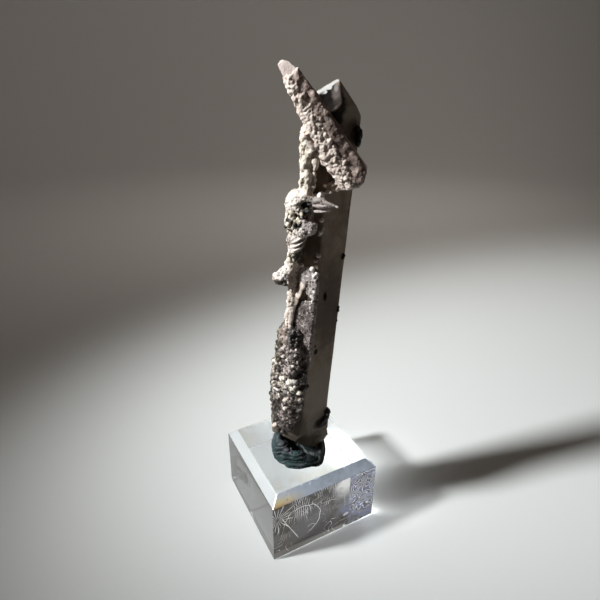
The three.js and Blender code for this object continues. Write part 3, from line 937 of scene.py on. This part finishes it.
def kindOf(radius=(0.2, 0.4), gap=0.8, lift=0.0, tone=(0.8, 1), tint=(0.3, 0.6), ground=1.0, **more):
    # grain sizes, their spacing and lift in grain sizes, tone and tint, then the tone of the
    # ground between grains
    plain = {"dark": 0, "patch": 0.2, "cover": 1, "tall": 1.0, "pits": 0, "valley": 0, "shade": 0,
             "gaps": 1, "blush": 0}
    sizes = {"radius": radius, "gap": gap, "lift": lift, "tone": tone, "tint": tint, "ground": ground}
    return {**plain, **sizes, **more}


def kindAt(point, sites):
    # the site whose middle is nearest for its own reach decides what grows at a point
    best, kind = 9e9, None
    for x, y, z, reach, name in sites:
        distance = math.sqrt((point.x - x) ** 2 + (point.y - y) ** 2 + (point.z - z) ** 2) / reach
        if distance < best:
            best, kind = distance, name
    return kind


def makeGrain(rng, point, normal, kind, radius):
    size = Vector((rng.uniform(0.85, 1.15), rng.uniform(0.85, 1.15),
                   kind["tall"] * rng.uniform(0.85, 1.2))) * radius
    drift = kind["patch"] * roughness3(point, lumpWidth, 40, 2)
    tone = rng.uniform(*kind["tone"]) + drift
    if rng.random() < kind["dark"]:
        tone = rng.uniform(0.0, 0.35)
    lean = 0.3 if kind["tall"] > 1.2 else 3.0  # tall grains stay nearly upright
    return {
        "at": point + normal * radius * kind["lift"],
        "size": size,
        "turn": (rng.uniform(-lean, lean), rng.uniform(-lean, lean), rng.uniform(-3, 3)),
        "tone": min(max(tone, 0), 1),
        "tint": min(max(rng.uniform(*kind["tint"]), 0), 1),
        "radius": radius,
    }


def scatterGrains(ground, sites, kinds, seed, tries):
    rng = random.Random(seed)
    faces = ground.faces[:]
    areas = [face.calc_area() for face in faces]
    grains, taken = [], {}
    cell = 1.6  # no two grains are wider than this together
    for face in rng.choices(faces, areas, k=tries):
        shares = [rng.random() + 0.05 for _ in face.verts]
        point = sum((v.co * share for v, share in zip(face.verts, shares)), Vector()) / sum(shares)
        kind = kinds[kindAt(point, sites)]
        if rng.random() > kind["cover"]:
            continue
        low, high = kind["radius"]
        radius = low + (high - low) * rng.random() ** 1.7
        key = tuple(math.floor(part / cell) for part in point)
        near = [
            other
            for i in (-1, 0, 1) for j in (-1, 0, 1) for k in (-1, 0, 1)
            for other in taken.get((key[0] + i, key[1] + j, key[2] + k), ())
        ]
        if any((point - other).length < kind["gap"] * (radius + size) for other, size in near):
            continue
        taken.setdefault(key, []).append((point, radius))
        grains.append(makeGrain(rng, point, face.normal, kind, radius))
    return grains


def dentGround(ground, dents, lumpiness, seed):
    for vertex in ground.verts:
        vertex.co += vertex.normal * lumpiness * roughness3(vertex.co, lumpWidth, seed)
    for x, y, z, reach, depth in dents:
        centre = Vector((x, y, z))
        for vertex in ground.verts:
            share = (vertex.co - centre).length / reach
            if share < 1:
                vertex.co -= vertex.normal * depth * (1 - share * share) ** 2
    ground.normal_update()


def placeGrains(surface, marks, kind, seed):
    # single grains set on a surface as seen from the front: x, z, radius, tone, tint
    rng = random.Random(seed)
    grains = []
    for x, z, radius, tone, tint in marks:
        hit, normal, _, _ = surface.ray_cast(Vector((x, -30, z)), Vector((0, 1, 0)))
        if hit is None:
            continue
        grain = makeGrain(rng, hit, normal, kind, radius)
        grain["tone"], grain["tint"] = tone, tint
        grains.append(grain)
    return grains


crumbCorners = 30
# gaps and distances in grain sizes, and levels of noise, between which each of these fades in
grainEdges = {"bare": (1.1, 1.35), "seamShade": (0.0, 0.42), "rim": (0.55, 1.0), "pit": (0.22, 0.5),
              "valley": (0.1, 0.45)}
grainRough = {"height": 0.07, "width": 0.45, "pitDepth": 0.45}


def fuseGrains(ground, grains, sites, kinds, voxel, seed):
    absorb(ground, grainBalls(grains))
    bm = remeshed(ground, voxel, 1)
    dropCrumbs(bm, crumbCorners)
    near = KDTree(len(grains))
    for index, grain in enumerate(grains):
        near.insert(grain["at"], index)
    near.balance()
    names = ("tone", "tint", "paintedShade", "blush")
    tone, tint, paintedShade, blush = [bm.verts.layers.float.new(name) for name in names]
    for vertex in bm.verts:
        found = near.find_n(vertex.co, 5)
        found = sorted((distance / grains[index]["radius"], index) for _, index, distance in found)
        (first, index), (second, _) = found[0], found[1]
        kind = kinds[kindAt(vertex.co, sites)]
        grain = grains[index]
        bare = fade(first, *grainEdges["bare"])
        vertex[tone] = grain["tone"] + (kind["ground"] - grain["tone"]) * bare
        vertex[tint] = grain["tint"] + (sum(kind["tint"]) / 2 - grain["tint"]) * bare
        # painted shade: in the seams between grains, in pits, which are also sunk, in the valleys of the
        # ground and over whole shaded sites
        seamShade = (1 - fade(second - first, *grainEdges["seamShade"])) * fade(first, *grainEdges["rim"])
        seamShade *= 1 - 0.6 * bare
        pit = kind["pits"] * fade(roughness3(vertex.co, 1.2, seed, 2), *grainEdges["pit"])
        valley = kind["valley"] * fade(-roughness3(vertex.co, lumpWidth, seed), *grainEdges["valley"])
        vertex[paintedShade] = max(seamShade * kind["gaps"], pit, valley, kind["shade"])
        vertex[blush] = kind["blush"]
        fine = grainRough["height"] * roughness3(vertex.co, grainRough["width"], seed, 2)
        vertex.co += vertex.normal * (fine - grainRough["pitDepth"] * pit)
    bm.normal_update()
    print("fused", len(grains), "grains into", len(bm.faces), "faces")
    return bm


greyRamp = [
    (0.0, (0.006, 0.006, 0.006)), (0.3, (0.065, 0.052, 0.05)), (0.55, (0.25, 0.205, 0.2)),
    (0.75, (0.5, 0.43, 0.415)), (0.9, (0.72, 0.65, 0.63)), (1.0, (0.86, 0.81, 0.785)),
]
creamRamp = [
    (0.0, (0.008, 0.008, 0.006)), (0.3, (0.075, 0.063, 0.04)), (0.55, (0.3, 0.25, 0.165)),
    (0.75, (0.55, 0.47, 0.35)), (0.9, (0.75, 0.67, 0.54)), (1.0, (0.86, 0.8, 0.68)),
]


druseFinish = {
    "mottle": 0.32,
    "pink": (1.0, 0.88, 0.8),
    "gaps": (0.03, 0.022, 0.017),
    "sparkle": 0.25,
    "bump": (0.5, 0.00012),
}


def makeDruse(name, rough, shadow):
    # the tint picks between a grey and a yellowish ramp, and the tone runs up them
    paint = Paint(name, greyRamp[-2][1], rough)
    place = paint.place()
    finish = druseFinish
    tone = paint.attribute("tone") + (place.noise(1.6, 4, 0.7) - 0.5) * finish["mottle"]
    color = paint.mix(paint.attribute("tint"), tone.ramp(greyRamp), tone.ramp(creamRamp))
    pinker = paint.mix(1.0, color, finish["pink"], "MULTIPLY")
    color = paint.mix(paint.attribute("blush"), color, pinker)
    # painted shade in the gaps, pits and valleys
    paint.put("Base Color", paint.mix(paint.attribute("paintedShade") * shadow, color, finish["gaps"]))
    sparkle = place.noise(5.0, 2, 0.5).step(0.4, 0.6)
    paint.put("Roughness", sparkle * finish["sparkle"] + (rough - 0.2))
    paint.bump(place.noise(4.0, 4, 0.7), *finish["bump"])
    return paint.material


# the pale druse
paleStrands = (
    strand((-2.2, -5.6, 138.2, 1.1, 1.1, 1.7), (0.2, -5.5, 134.9, 1.5, 1.4, 2.1),
           (3.4, -5.5, 129.0, 2.1, 1.6, 2.4), (6.5, -5.5, 123.8, 2.3, 1.7, 2.6),
           (9.2, -5.4, 120.2, 2.3, 1.8, 2.6), (11.8, -5.3, 117.2, 2.4, 1.9, 2.2))
    + strand((1.9, -4.2, 127.0, 1.7, 2.2, 2.4), (1.9, -2.7, 122.6, 1.8, 2.1, 2.6),
             (1.8, -2.4, 118.6, 1.5, 1.9, 2.4), (1.8, -2.6, 114.8, 1.7, 2.4, 2.2))
    + [(-0.2, -2.8, 110.4, 3.4, 3.6, 3.7, -18), (-0.2, -3.0, 106.2, 3.7, 3.8, 4.0),
       (1.2, -4.4, 112.2, 2.2, 2.0, 1.8), (2.6, -4.6, 104.6, 1.9, 2.4, 2.0),
       (0.6, -5.0, 104.0, 2.4, 2.0, 1.8)]
    + strand((2.6, -4.8, 112.2, 1.5, 1.4, 1.0), (5.6, -5.4, 111.6, 1.1, 1.0, 0.8))
    + strand((-0.9, -2.8, 101.4, 2.6, 2.9, 1.6), (-1.0, -2.0, 97.6, 2.0, 2.4, 2.0),
             (-1.6, -1.6, 93.6, 1.7, 2.0, 2.0))
    + strand((-1.9, -3.6, 98.8, 1.1, 1.6, 1.2), (-2.1, -3.2, 95.6, 1.0, 1.5, 1.4),
             (-2.1, -2.6, 92.6, 1.0, 1.2, 1.4))
    + strand((-2.4, -2.5, 91.8, 1.3, 1.3, 1.6), (-4.2, -2.8, 90.6, 1.7, 1.7, 1.8),
             (-5.5, -2.6, 89.4, 1.2, 1.4, 1.2))
    + [(-3.2, -3.2, 89.2, 1.6, 1.6, 1.4)]
    + strand((-1.9, -2.5, 91.0, 0.9, 1.0, 1.6), (-1.8, -2.6, 88.0, 1.0, 1.0, 1.8),
             (-2.1, -2.7, 84.6, 1.0, 1.1, 2.0), (-2.7, -2.7, 80.4, 0.9, 1.2, 2.0),
             (-3.2, -2.6, 75.6, 0.9, 1.4, 2.0))
)
# thin plates, rods and spikes, kept crisp
paleDetails = (
    [(-0.6, -4.9, 101.6, 2.1, 1.7, 0.34, -28), (-0.3, -5.0, 100.5, 2.2, 1.7, 0.32, -31),
     (-0.3, -5.0, 99.4, 2.1, 1.6, 0.3, -29), (-0.8, -4.7, 98.5, 1.7, 1.5, 0.3, -22)]
    + strand((4.4, -5.7, 112.0, 1.0, 0.8, 0.8), (7.0, -6.2, 111.2, 0.75, 0.5, 0.5),
             (9.5, -6.4, 110.5, 0.3, 0.3, 0.24))
    + [(9.4, -6.5, 110.5, 0.42, 0.4, 0.36), (3.0, -5.9, 111.7, 1.5, 0.5, 0.4, 8)]
    + strand((2.3, -5.9, 111.0, 0.6, 0.6, 0.32), (4.6, -6.1, 110.5, 0.8, 0.7, 0.42),
             (7.2, -6.2, 110.5, 0.6, 0.4, 0.4))
    + [(5.4, -5.9, 109.3, 2.6, 0.8, 0.42, -4), (2.2, -6.0, 109.3, 1.2, 0.9, 0.6)]
    + strand((1.0, -6.6, 127.2, 0.6, 0.6, 0.6), (2.9, -6.6, 124.8, 0.6, 0.6, 0.6))
    + strand((2.6, -6.2, 123.8, 0.6, 0.6, 0.6), (4.2, -6.7, 125.2, 0.6, 0.6, 0.6))
    + [(3.7, -5.0, 121.2, 0.95, 0.8, 2.3, 3), (1.8, -4.8, 117.6, 1.0, 0.9, 2.1, -2),
       (1.2, -4.8, 121.0, 0.9, 0.85, 1.8, 4), (5.5, -5.6, 121.6, 0.7, 0.6, 1.3, -4),
       (1.6, -5.0, 114.4, 0.9, 0.8, 1.5, 2), (0.4, -4.4, 116.2, 0.7, 0.8, 1.6, 4),
       (2.1, -5.4, 123.7, 0.8, 0.8, 1.4, -6), (0.6, -4.2, 119.6, 0.7, 0.8, 1.1),
       (1.3, -4.4, 114.7, 0.9, 0.8, 0.8), (3.4, -4.6, 118.1, 0.65, 0.6, 0.8),
       (3.5, -4.6, 116.7, 0.6, 0.6, 0.7), (3.3, -4.6, 115.3, 0.7, 0.6, 0.8),
       (6.1, -6.5, 122.5, 1.2, 0.9, 1.1), (7.5, -6.3, 119.7, 0.8, 0.6, 0.6),
       (6.9, -6.3, 121.0, 0.45, 0.5, 0.7), (8.8, -6.8, 121.4, 0.7, 0.6, 0.7),
       (9.1, -6.7, 119.9, 0.7, 0.6, 0.6), (9.7, -6.5, 117.6, 0.5, 0.5, 0.5),
       (0.7, -3.7, 88.0, 1.15, 0.35, 2.0, 16, -15, -35), (-0.3, -3.7, 85.4, 1.1, 0.35, 2.1, 16, -15, -35),
       (-1.0, -3.7, 83.2, 0.95, 0.35, 1.9, 14, -10, -30)]
    + strand((-1.5, -3.7, 82.6, 0.85, 0.4, 1.5), (-2.0, -3.8, 80.0, 0.8, 0.4, 1.4),
             (-2.4, -3.9, 76.8, 0.7, 0.45, 1.4))
    + [(-2.5, -4.0, 74.8, 0.55, 0.5, 0.9)]
)
paleDents = [
    (0.9, -6.6, 110.6, 1.7, 2.2), (2.6, -6.2, 110.4, 1.5, 2.0), (-1.8, -6.2, 107.8, 2.0, 1.3),
    (-0.5, -6.8, 106.6, 1.8, 1.3), (-2.5, -5.6, 105.3, 1.5, 1.8), (2.0, -6.4, 108.2, 1.6, 1.3),
]
paleSites = (
    [(-3.0 + 1.9 * step, -7.5, 138.4 - 3.05 * step, 4.0, "mauve") for step in range(8)]
    + [(0.6 + 1.98 * step, -7.6, 138.8 - 2.94 * step, 3.0, "thinPale" if step < 3 else "thin")
       for step in range(8)]
    + [(13.0, -7.0, 119.0, 2.4, "smooth"), (-1.2, -6.6, 139.4, 1.8, "smooth"),
       (12.4, -6.6, 116.4, 1.8, "pink")]
    + [(2.2, -5.0, z, 3.0, "cream") for z in (126, 122.5, 119, 115.5)]
    + [(6.6, -9.0, 122.6, 1.9, "cream"), (9.2, -8.4, 121.0, 1.5, "cream"),
       (-1.6, -4.0, 111.4, 3.0, "snow"), (0.8, -6.5, 112.6, 1.8, "snow"),
       (-0.8, -6.6, 109.4, 1.2, "snow"), (-1.8, -6.0, 107.6, 1.9, "shadedCavity"),
       (-0.5, -6.6, 106.4, 1.7, "shadedCavity"), (-2.7, -5.4, 105.2, 1.6, "shadedCavity"),
       (2.0, -6.0, 108.0, 1.5, "shadedCavity"), (1.7, -6.0, 110.6, 1.4, "shadedCavity"),
       (-3.6, -2.5, 107.0, 2.0, "snow"), (2.6, -7.0, 106.0, 2.9, "pink"), (5.6, -6.0, 111.0, 2.6, "pink"),
       (0.0, -6.6, 103.6, 1.6, "snow"), (0.2, -6.0, 100.4, 2.2, "plates"),
       (-2.2, -4.4, 95.4, 1.9, "cream"), (0.6, -3.4, 96.4, 2.2, "olive"),
       (-4.6, -3.4, 91.8, 2.0, "snowballs"), (-4.6, -3.0, 88.2, 1.6, "undersideShade"),
       (-1.4, -4.4, 92.4, 1.8, "twisted"), (2.4, -4.4, 90.4, 2.6, "fine"), (3.6, -4.6, 86.4, 1.6, "fine"),
       (0.4, -4.8, 88.0, 1.3, "leaf"), (-0.8, -4.2, 85.6, 1.2, "leaf"),
       (-2.0, -3.6, 88.0, 1.6, "twisted"), (-2.4, -3.4, 84.4, 1.8, "twisted"),
       (-2.2, -4.0, 79.6, 2.2, "ribbon"), (-2.8, -4.0, 75.4, 2.2, "ribbon")]
)
paleKinds = {
    "mauve": kindOf((0.3, 0.7), 0.74, -0.12, (0.9, 1.0), (0.0, 0.25), 0.93,
        dark=0.01, pits=0.4, blush=0.8, gaps=0.5),
    "smooth": kindOf((0.2, 0.36), 0.8, -0.3, (0.6, 0.84), (0.0, 0.1), 0.74, cover=0.4, blush=1.0, gaps=0.3),
    "cream": kindOf((0.3, 0.6), 0.85, 0.1, (0.88, 1.0), (0.3, 1.0), 0.92,
        dark=0.08, tall=1.8, cover=0.45, pits=0.5, blush=0.3),
    "snow": kindOf((0.24, 0.45), 0.66, 0.0, (0.9, 1.0), (0.1, 0.5), 0.95, dark=0.03, pits=0.25, blush=0.4),
    # painted shade: black ground in the cavities
    "shadedCavity": kindOf((0.34, 0.7), 0.9, 0.5, (0.6, 1.0), (0.5, 1.0), 0.0, dark=0.3, patch=0.1, cover=0.35),
    "pink": kindOf((0.24, 0.42), 0.75, -0.15, (0.74, 0.88), (0.0, 0.1), 0.82,
        dark=0.01, cover=0.35, pits=0.3, blush=0.2),
    "plates": kindOf((0.2, 0.34), 0.8, 0.0, (0.58, 0.88), (0.0, 0.2), 0.82, dark=0.08, cover=0.25, blush=0.2),
    "thin": kindOf((0.2, 0.32), 0.95, -0.62, (0.46, 0.74), (0.0, 0.05), 0.54,
        cover=0.35, blush=1.0, gaps=0.3),
    "thinPale": kindOf((0.2, 0.34), 0.9, -0.55, (0.58, 0.84), (0.0, 0.05), 0.66,
        cover=0.4, blush=1.0, gaps=0.3),
    # dark olive, partly painted shade
    "olive": kindOf((0.3, 0.6), 0.7, 0.2, (0.2, 0.55), (0.8, 1.0), 0.25, dark=0.3),
    "snowballs": kindOf((0.45, 0.85), 0.6, 0.35, (0.95, 1.0), (0.1, 0.4), 0.96, blush=0.3),
    # painted shade: dark grains and ground under the snowballs
    "undersideShade": kindOf((0.35, 0.7), 0.66, 0.35, (0.25, 0.7), (0.2, 0.7), 0.1, dark=0.3),
    "fine": kindOf((0.2, 0.34), 0.75, 0.0, (0.5, 0.84), (0.0, 0.2), 0.64, dark=0.12),
    "twisted": kindOf((0.25, 0.45), 0.78, 0.1, (0.86, 1.0), (0.2, 0.6), 0.72, dark=0.06, tall=2.6, blush=0.5),
    "leaf": kindOf((0.2, 0.3), 0.95, -0.1, (0.85, 0.95), (0.1, 0.3), 0.93, cover=0.3, blush=0.8),
    "ribbon": kindOf((0.24, 0.42), 0.85, 0.05, (0.8, 1.0), (0.1, 0.4), 0.88, dark=0.08, pits=0.5, blush=0.5),
}
# single grains and chips on the bare faces: x, z, radius, tone, tint
looseGrains = [
    (6.5, 115.1, 0.5, 0.9, 0.7), (7.2, 115.3, 0.5, 0.92, 0.7), (7.9, 115.6, 0.5, 0.95, 0.5),
    (8.1, 114.2, 0.7, 1.0, 0.5), (9.0, 114.1, 0.55, 0.95, 0.5), (5.8, 112.7, 0.85, 1.0, 0.2),
    (6.7, 113.5, 0.5, 0.95, 0.3), (5.0, 111.6, 0.8, 1.0, 0.1), (5.7, 106.2, 0.6, 0.95, 0.4),
    (5.9, 104.0, 0.5, 0.95, 0.5), (5.6, 103.0, 0.6, 1.0, 0.4), (5.2, 102.2, 0.4, 0.85, 0.4),
    (5.1, 96.7, 0.65, 0.95, 0.1), (4.7, 97.2, 0.4, 0.9, 0.2), (4.2, 95.1, 0.5, 0.9, 0.3),
    (4.8, 95.3, 0.4, 0.85, 0.3), (3.6, 92.8, 0.7, 1.0, 0.4), (4.1, 90.9, 0.6, 1.0, 0.4),
    (4.7, 91.7, 0.55, 1.0, 0.3), (0.7, 93.5, 0.6, 0.95, 0.4), (4.2, 86.5, 0.5, 1.0, 0.3),
    (3.5, 85.0, 0.45, 0.95, 0.3), (1.8, 83.2, 0.35, 1.0, 0.2), (3.6, 83.4, 0.4, 1.0, 0.2),
]
palePiece = {"lumpiness": 0.35, "groundVoxel": 0.42, "voxel": 0.2, "tries": 34000, "seed": 5, "skin": 0.18}
# the skin of the cross crystal ends along these planes: point, away
crossSkinCuts = [
    ((-1.7, -5.2, 140.8), (-0.4, -0.06, 0.92)), ((6.2, -5, 133.9), (0.83, 0, 0.557)),
    ((0, -3.0, 130), (-0.3, 1, 0)),
]
# a flat skin on the main crystal's front left face: corners x, z round each patch, then its rise
# over the face
triangleSkin = [[(-1.0, 89.6), (3.4, 84.0), (5.2, 84.0), (5.2, 91.6), (2.4, 93.0), (-1.0, 93.4)], 0.45]


def faceSkin(corners, rise):
    # a thin coat on the face, square at its right edge
    place, _ = crystalPlace(mainCrystal)
    bm = crystalBar(mainCrystal, brokenFoot, rise)
    for (x1, z1), (x2, z2) in zip(corners, corners[1:] + corners[:1]):
        cutAway(bm, Vector((x1, -5, z1)), Vector((z2 - z1, 0, x1 - x2)))
    for face, depth, side in ((1, -1.0, -1), (2, 0.02, 1)):
        turn = math.radians(mainCrystal["firstFace"] + 60 * face)
        outward = Vector((math.sin(turn), -math.cos(turn), 0))
        point = place @ (outward * (mainCrystal["reach"][face] + depth))
        cutAway(bm, point, place.to_3x3() @ outward * side)
    bmesh.ops.triangulate(bm, faces=bm.faces)
    bm.normal_update()
    return bm


def makePaleDruse():
    bm = crystalBar(crossCrystal, crossTipCut + crossFootCuts + crossSkinCuts, palePiece["skin"])
    addLumps(bm, paleStrands)
    ground = remeshed(bm, palePiece["groundVoxel"], 1)
    dentGround(ground, paleDents, palePiece["lumpiness"], palePiece["seed"])
    grains = scatterGrains(ground, paleSites, paleKinds, palePiece["seed"], palePiece["tries"])
    skin = faceSkin(*triangleSkin)
    grains += scatterGrains(skin, [(0, 0, 90, 1, "fine")], paleKinds, palePiece["seed"],
                            palePiece["tries"] // 8)
    absorb(ground, skin)
    addLumps(ground, paleDetails)
    for lift, marks in ((0.6, looseGrains), (1.6, looseGrains[:8]), (2.7, looseGrains[:8])):
        grains += placeGrains(mainSurface, marks, kindOf(lift=lift), 9)
    bm = fuseGrains(ground, grains, paleSites, paleKinds, palePiece["voxel"], palePiece["seed"])
    finishPiece("paleDruse", bm, [paleGrains], ["pale_druse"])


def crystalSurface(spec, cuts):
    bm = crystalBar(spec, cuts)
    bm.normal_update()
    tree = BVHTree.FromBMesh(bm)
    bm.free()
    return tree


mainSurface = crystalSurface(mainCrystal, brokenFoot)
paleGrains = makeDruse("paleGrains", 0.7, 0.7)
darkGrains = makeDruse("darkGrains", 0.6, 0.96)
makePaleDruse()

# the dark druse
darkStrands = (
    strand((-3.2, -2.2, 73.4, 1.7, 2.8, 2.6), (-4.1, -1.8, 67.0, 2.2, 3.4, 3.4),
           (-5.3, -1.8, 59.0, 2.5, 4.0, 3.6), (-5.7, -2.0, 51.0, 2.6, 4.2, 3.8),
           (-5.8, -2.3, 43.6, 2.6, 4.0, 3.8), (-5.7, -2.4, 38.4, 2.3, 3.4, 3.2))
    + strand((-1.4, -4.6, 72.4, 1.9, 1.8, 2.4), (-1.6, -5.2, 66.0, 2.3, 2.2, 3.0),
             (-1.0, -5.8, 59.0, 3.0, 2.6, 3.2), (-1.8, -6.2, 52.0, 3.2, 2.6, 3.2),
             (-2.6, -6.3, 46.5, 2.8, 2.4, 3.0), (-3.4, -6.0, 42.4, 2.4, 2.2, 2.8))
    + strand((-4.6, -4.6, 41.0, 2.6, 2.0, 2.2), (-5.0, -3.6, 38.0, 2.2, 2.2, 2.0))
    + strand((-5.0, -2.4, 72.4, 0.6, 0.8, 1.0), (-5.8, -2.6, 68.2, 0.8, 0.9, 1.2),
             (-6.2, -3.0, 63.8, 0.8, 0.9, 1.2))
    + strand((1.4, -6.9, 61.8, 0.6, 0.7, 1.0), (1.9, -7.0, 58.6, 0.7, 0.8, 1.0),
             (1.0, -7.3, 54.6, 0.7, 0.8, 1.0))
)
darkDents = [
    (-0.9, -6.6, 72.8, 2.3, 2.2), (-0.4, -7.6, 61.4, 1.9, 1.6), (-4.6, -6.4, 47.5, 1.8, 1.2),
    (-5.0, -4.6, 69.0, 1.6, 1.4), (-1.0, -8.6, 49.4, 1.8, 1.2), (-5.2, -5.8, 39.8, 1.5, 1.2),
]
# the film on the main crystal's front left face
filmSkin = [[(0.2, 83.2), (-1.4, 78.8), (-1.6, 66.0), (0.4, 61.0), (3.2, 62.4), (5.6, 83.4)], 0.4]
darkSites = (
    [(x, -5.6, z, 1.6, "film")
     for x, z in ((2.4, 82), (1.8, 79), (2.4, 76), (1.8, 73), (2.6, 70), (2.6, 67), (2.8, 64))]
    + [(-1.0, -6.4, 72.6, 1.7, "shadedHole"), (-4.4, -3.6, 72.0, 1.6, "ribbon"),
       (-5.6, -1.6, 71.0, 2.2, "moss"), (-6.4, -1.6, 66.0, 2.4, "moss"), (-3.4, -6.0, 67.4, 2.0, "bands"),
       (-2.4, -7.2, 64.6, 1.7, "bands"), (-0.4, -7.8, 61.2, 2.0, "shadedHole"),
       (-4.2, -6.4, 62.4, 1.6, "bands"), (-7.6, -2.4, 61.0, 2.2, "pebbles"),
       (-3.4, -7.8, 57.4, 2.4, "pebbles"), (-7.4, -4.0, 55.2, 2.0, "pebbles"),
       (-1.2, -8.6, 55.4, 2.0, "pebbles"), (1.0, -7.8, 56.6, 1.4, "mixed"),
       (-4.0, -7.0, 51.6, 2.6, "mixed"), (-1.0, -8.4, 50.8, 1.8, "pebbles"),
       (-7.4, -3.0, 49.4, 2.6, "mixed"), (-3.0, -8.6, 46.6, 2.4, "dim"), (-6.6, -4.6, 45.4, 1.9, "shadedHole"),
       (-3.6, -8.4, 42.4, 2.8, "dim"), (-7.4, -3.2, 41.6, 1.6, "pebbles"),
       (-6.6, -4.0, 38.4, 2.2, "stone")]
)
# the near-black ground of most of these is painted shade between the grains
darkKinds = {
    "film": kindOf((0.18, 0.28), 0.85, -0.1, (0.36, 0.72), (0.0, 0.1), 0.44, dark=0.08, blush=0.1, patch=0.4),
    # painted shade: the deep holes are black
    "shadedHole": kindOf((0.26, 0.52), 0.68, 0.4, (0.2, 0.7), (0.0, 0.4), 0.0, dark=0.7, shade=0.55),
    "ribbon": kindOf((0.22, 0.4), 0.85, 0.05, (0.48, 0.74), (0.0, 0.3), 0.55, dark=0.16, blush=0.6),
    "moss": kindOf((0.28, 0.5), 0.66, 0.3, (0.25, 0.6), (0.5, 1.0), 0.1, dark=0.4, valley=0.8),
    "bands": kindOf((0.26, 0.6), 0.66, 0.3, (0.5, 0.85), (0.0, 0.2), 0.1,
        dark=0.25, tall=0.6, valley=0.9, blush=0.3),
    "pebbles": kindOf((0.3, 0.75), 0.64, 0.35, (0.45, 0.88), (0.1, 0.7), 0.05,
        dark=0.25, patch=0.3, valley=0.9),
    "mixed": kindOf((0.3, 0.7), 0.68, 0.35, (0.36, 0.72), (0.0, 0.25), 0.03,
        dark=0.32, patch=0.5, valley=1.0, blush=0.4),
    "dim": kindOf((0.28, 0.6), 0.7, 0.3, (0.3, 0.6), (0.0, 0.15), 0.03,
        dark=0.3, patch=0.4, valley=1.0, blush=0.5),
    "stone": kindOf((0.4, 0.9), 0.8, -0.2, (0.25, 0.5), (0.3, 0.6), 0.36, dark=0.15, blush=0.4),
}
# the biggest grains: x, z, radius, tone, tint
bigGrains = [
    (-4.9, 58.9, 1.0, 0.95, 0.6), (-2.7, 58.7, 1.15, 0.97, 0.5), (-1.2, 59.0, 1.05, 0.97, 0.5),
    (-7.2, 56.2, 1.1, 0.9, 0.6), (-6.6, 54.4, 0.95, 0.9, 0.7), (-1.9, 56.5, 1.0, 0.92, 0.5),
    (-0.2, 55.3, 0.95, 0.9, 0.6), (-3.3, 54.6, 0.95, 0.9, 0.4), (-7.0, 63.0, 0.9, 0.9, 0.5),
    (-0.8, 45.9, 0.45, 1.0, 0.1), (-2.0, 42.7, 0.42, 1.0, 0.1), (-7.3, 41.6, 0.9, 0.85, 0.4),
    (-6.4, 41.4, 0.85, 0.8, 0.5), (-5.4, 56.9, 0.8, 0.8, 0.7), (-3.8, 52.4, 0.85, 0.8, 0.3),
    (-4.6, 66.0, 0.7, 0.8, 0.2),
]
darkPiece = {"lumpiness": 0.85, "groundVoxel": 0.42, "voxel": 0.2, "tries": 26000, "seed": 11}


def makeDarkDruse():
    bm = bmesh.new()
    addLumps(bm, darkStrands)
    cutAway(bm, Vector((-5.3, -5, 36.3)), Vector((-0.4, -0.36, -1)))
    ground = remeshed(bm, darkPiece["groundVoxel"], 1)
    dentGround(ground, darkDents, darkPiece["lumpiness"], darkPiece["seed"])
    surface = BVHTree.FromBMesh(ground)
    big = placeGrains(surface, bigGrains, kindOf(lift=0.4, tall=0.68), 21)
    for grain in big:
        grain["turn"] = (0, grain["turn"][0] * 0.1, 0)
    grains = scatterGrains(ground, darkSites, darkKinds, darkPiece["seed"], darkPiece["tries"])
    grains = [g for g in grains if all((g["at"] - b["at"]).length > b["radius"] * 1.1 for b in big)] + big
    skin = faceSkin(*filmSkin)
    grains += scatterGrains(skin, [(0, 0, 70, 1, "film")], darkKinds, darkPiece["seed"],
                            darkPiece["tries"] // 5)
    absorb(ground, skin)
    bm = fuseGrains(ground, grains, darkSites, darkKinds, darkPiece["voxel"], darkPiece["seed"])
    finishPiece("darkDruse", bm, [darkGrains], ["dark_druse"])


makeDarkDruse()

# the dark knobs on the right edge
knobs = {
    "side_knob_1": [(14.7, 2.6, 126.6, 0.9, 1.4, 1.6), (14.5, 2.4, 124.8, 0.8, 1.2, 1.2),
                    (14.2, 2.2, 128.0, 0.7, 1.0, 0.9)],
    "side_knob_2": [(12.2, 1.9, 94.7, 0.55, 0.7, 0.55), (12.0, 1.6, 94.0, 0.5, 0.6, 0.5)],
    "side_knob_3": [(11.3, 1.5, 78.5, 0.5, 0.6, 0.7), (11.2, 1.3, 77.7, 0.45, 0.6, 0.5)],
    "side_knob_4": [(10.9, 1.3, 74.4, 0.45, 0.55, 0.45)],
    "side_knob_5": [
        (9.1, -0.4, 41.8, 1.1, 1.5, 1.5), (8.9, -0.6, 40.3, 1.0, 1.4, 1.4), (8.2, -1.2, 39.8, 1.2, 1.2, 1.2),
        (7.4, -1.8, 39.0, 1.0, 0.8, 1.0, -30), (6.8, -2.3, 38.2, 0.8, 0.6, 0.8, -30),
    ],
}
knobShape = {
    "voxel": 0.12,
    "rough": 0.16,
    "bump": (0.6, 0.00015),
    "colors": [(0.35, (0.006, 0.0055, 0.005)), (0.62, (0.022, 0.02, 0.017)), (0.75, (0.06, 0.055, 0.045))],
}


def makeKnobs():
    paint = Paint("blackMineral", (0.012, 0.011, 0.01), 0.5)
    place = paint.place()
    paint.put("Base Color", place.noise(1.4, 4, 0.65).ramp(knobShape["colors"]))
    paint.bump(place.noise(4.0, 4, 0.7), *knobShape["bump"])
    for number, (name, lumps) in enumerate(knobs.items()):
        bm = bmesh.new()
        addLumps(bm, lumps)
        bm = remeshed(bm, knobShape["voxel"], 1)
        for vertex in bm.verts:
            vertex.co += vertex.normal * knobShape["rough"] * roughness3(vertex.co, 0.6, 60 + number)
        finishPiece("darkKnob" + str(number + 1), bm, [paint.material], [name])


makeKnobs()
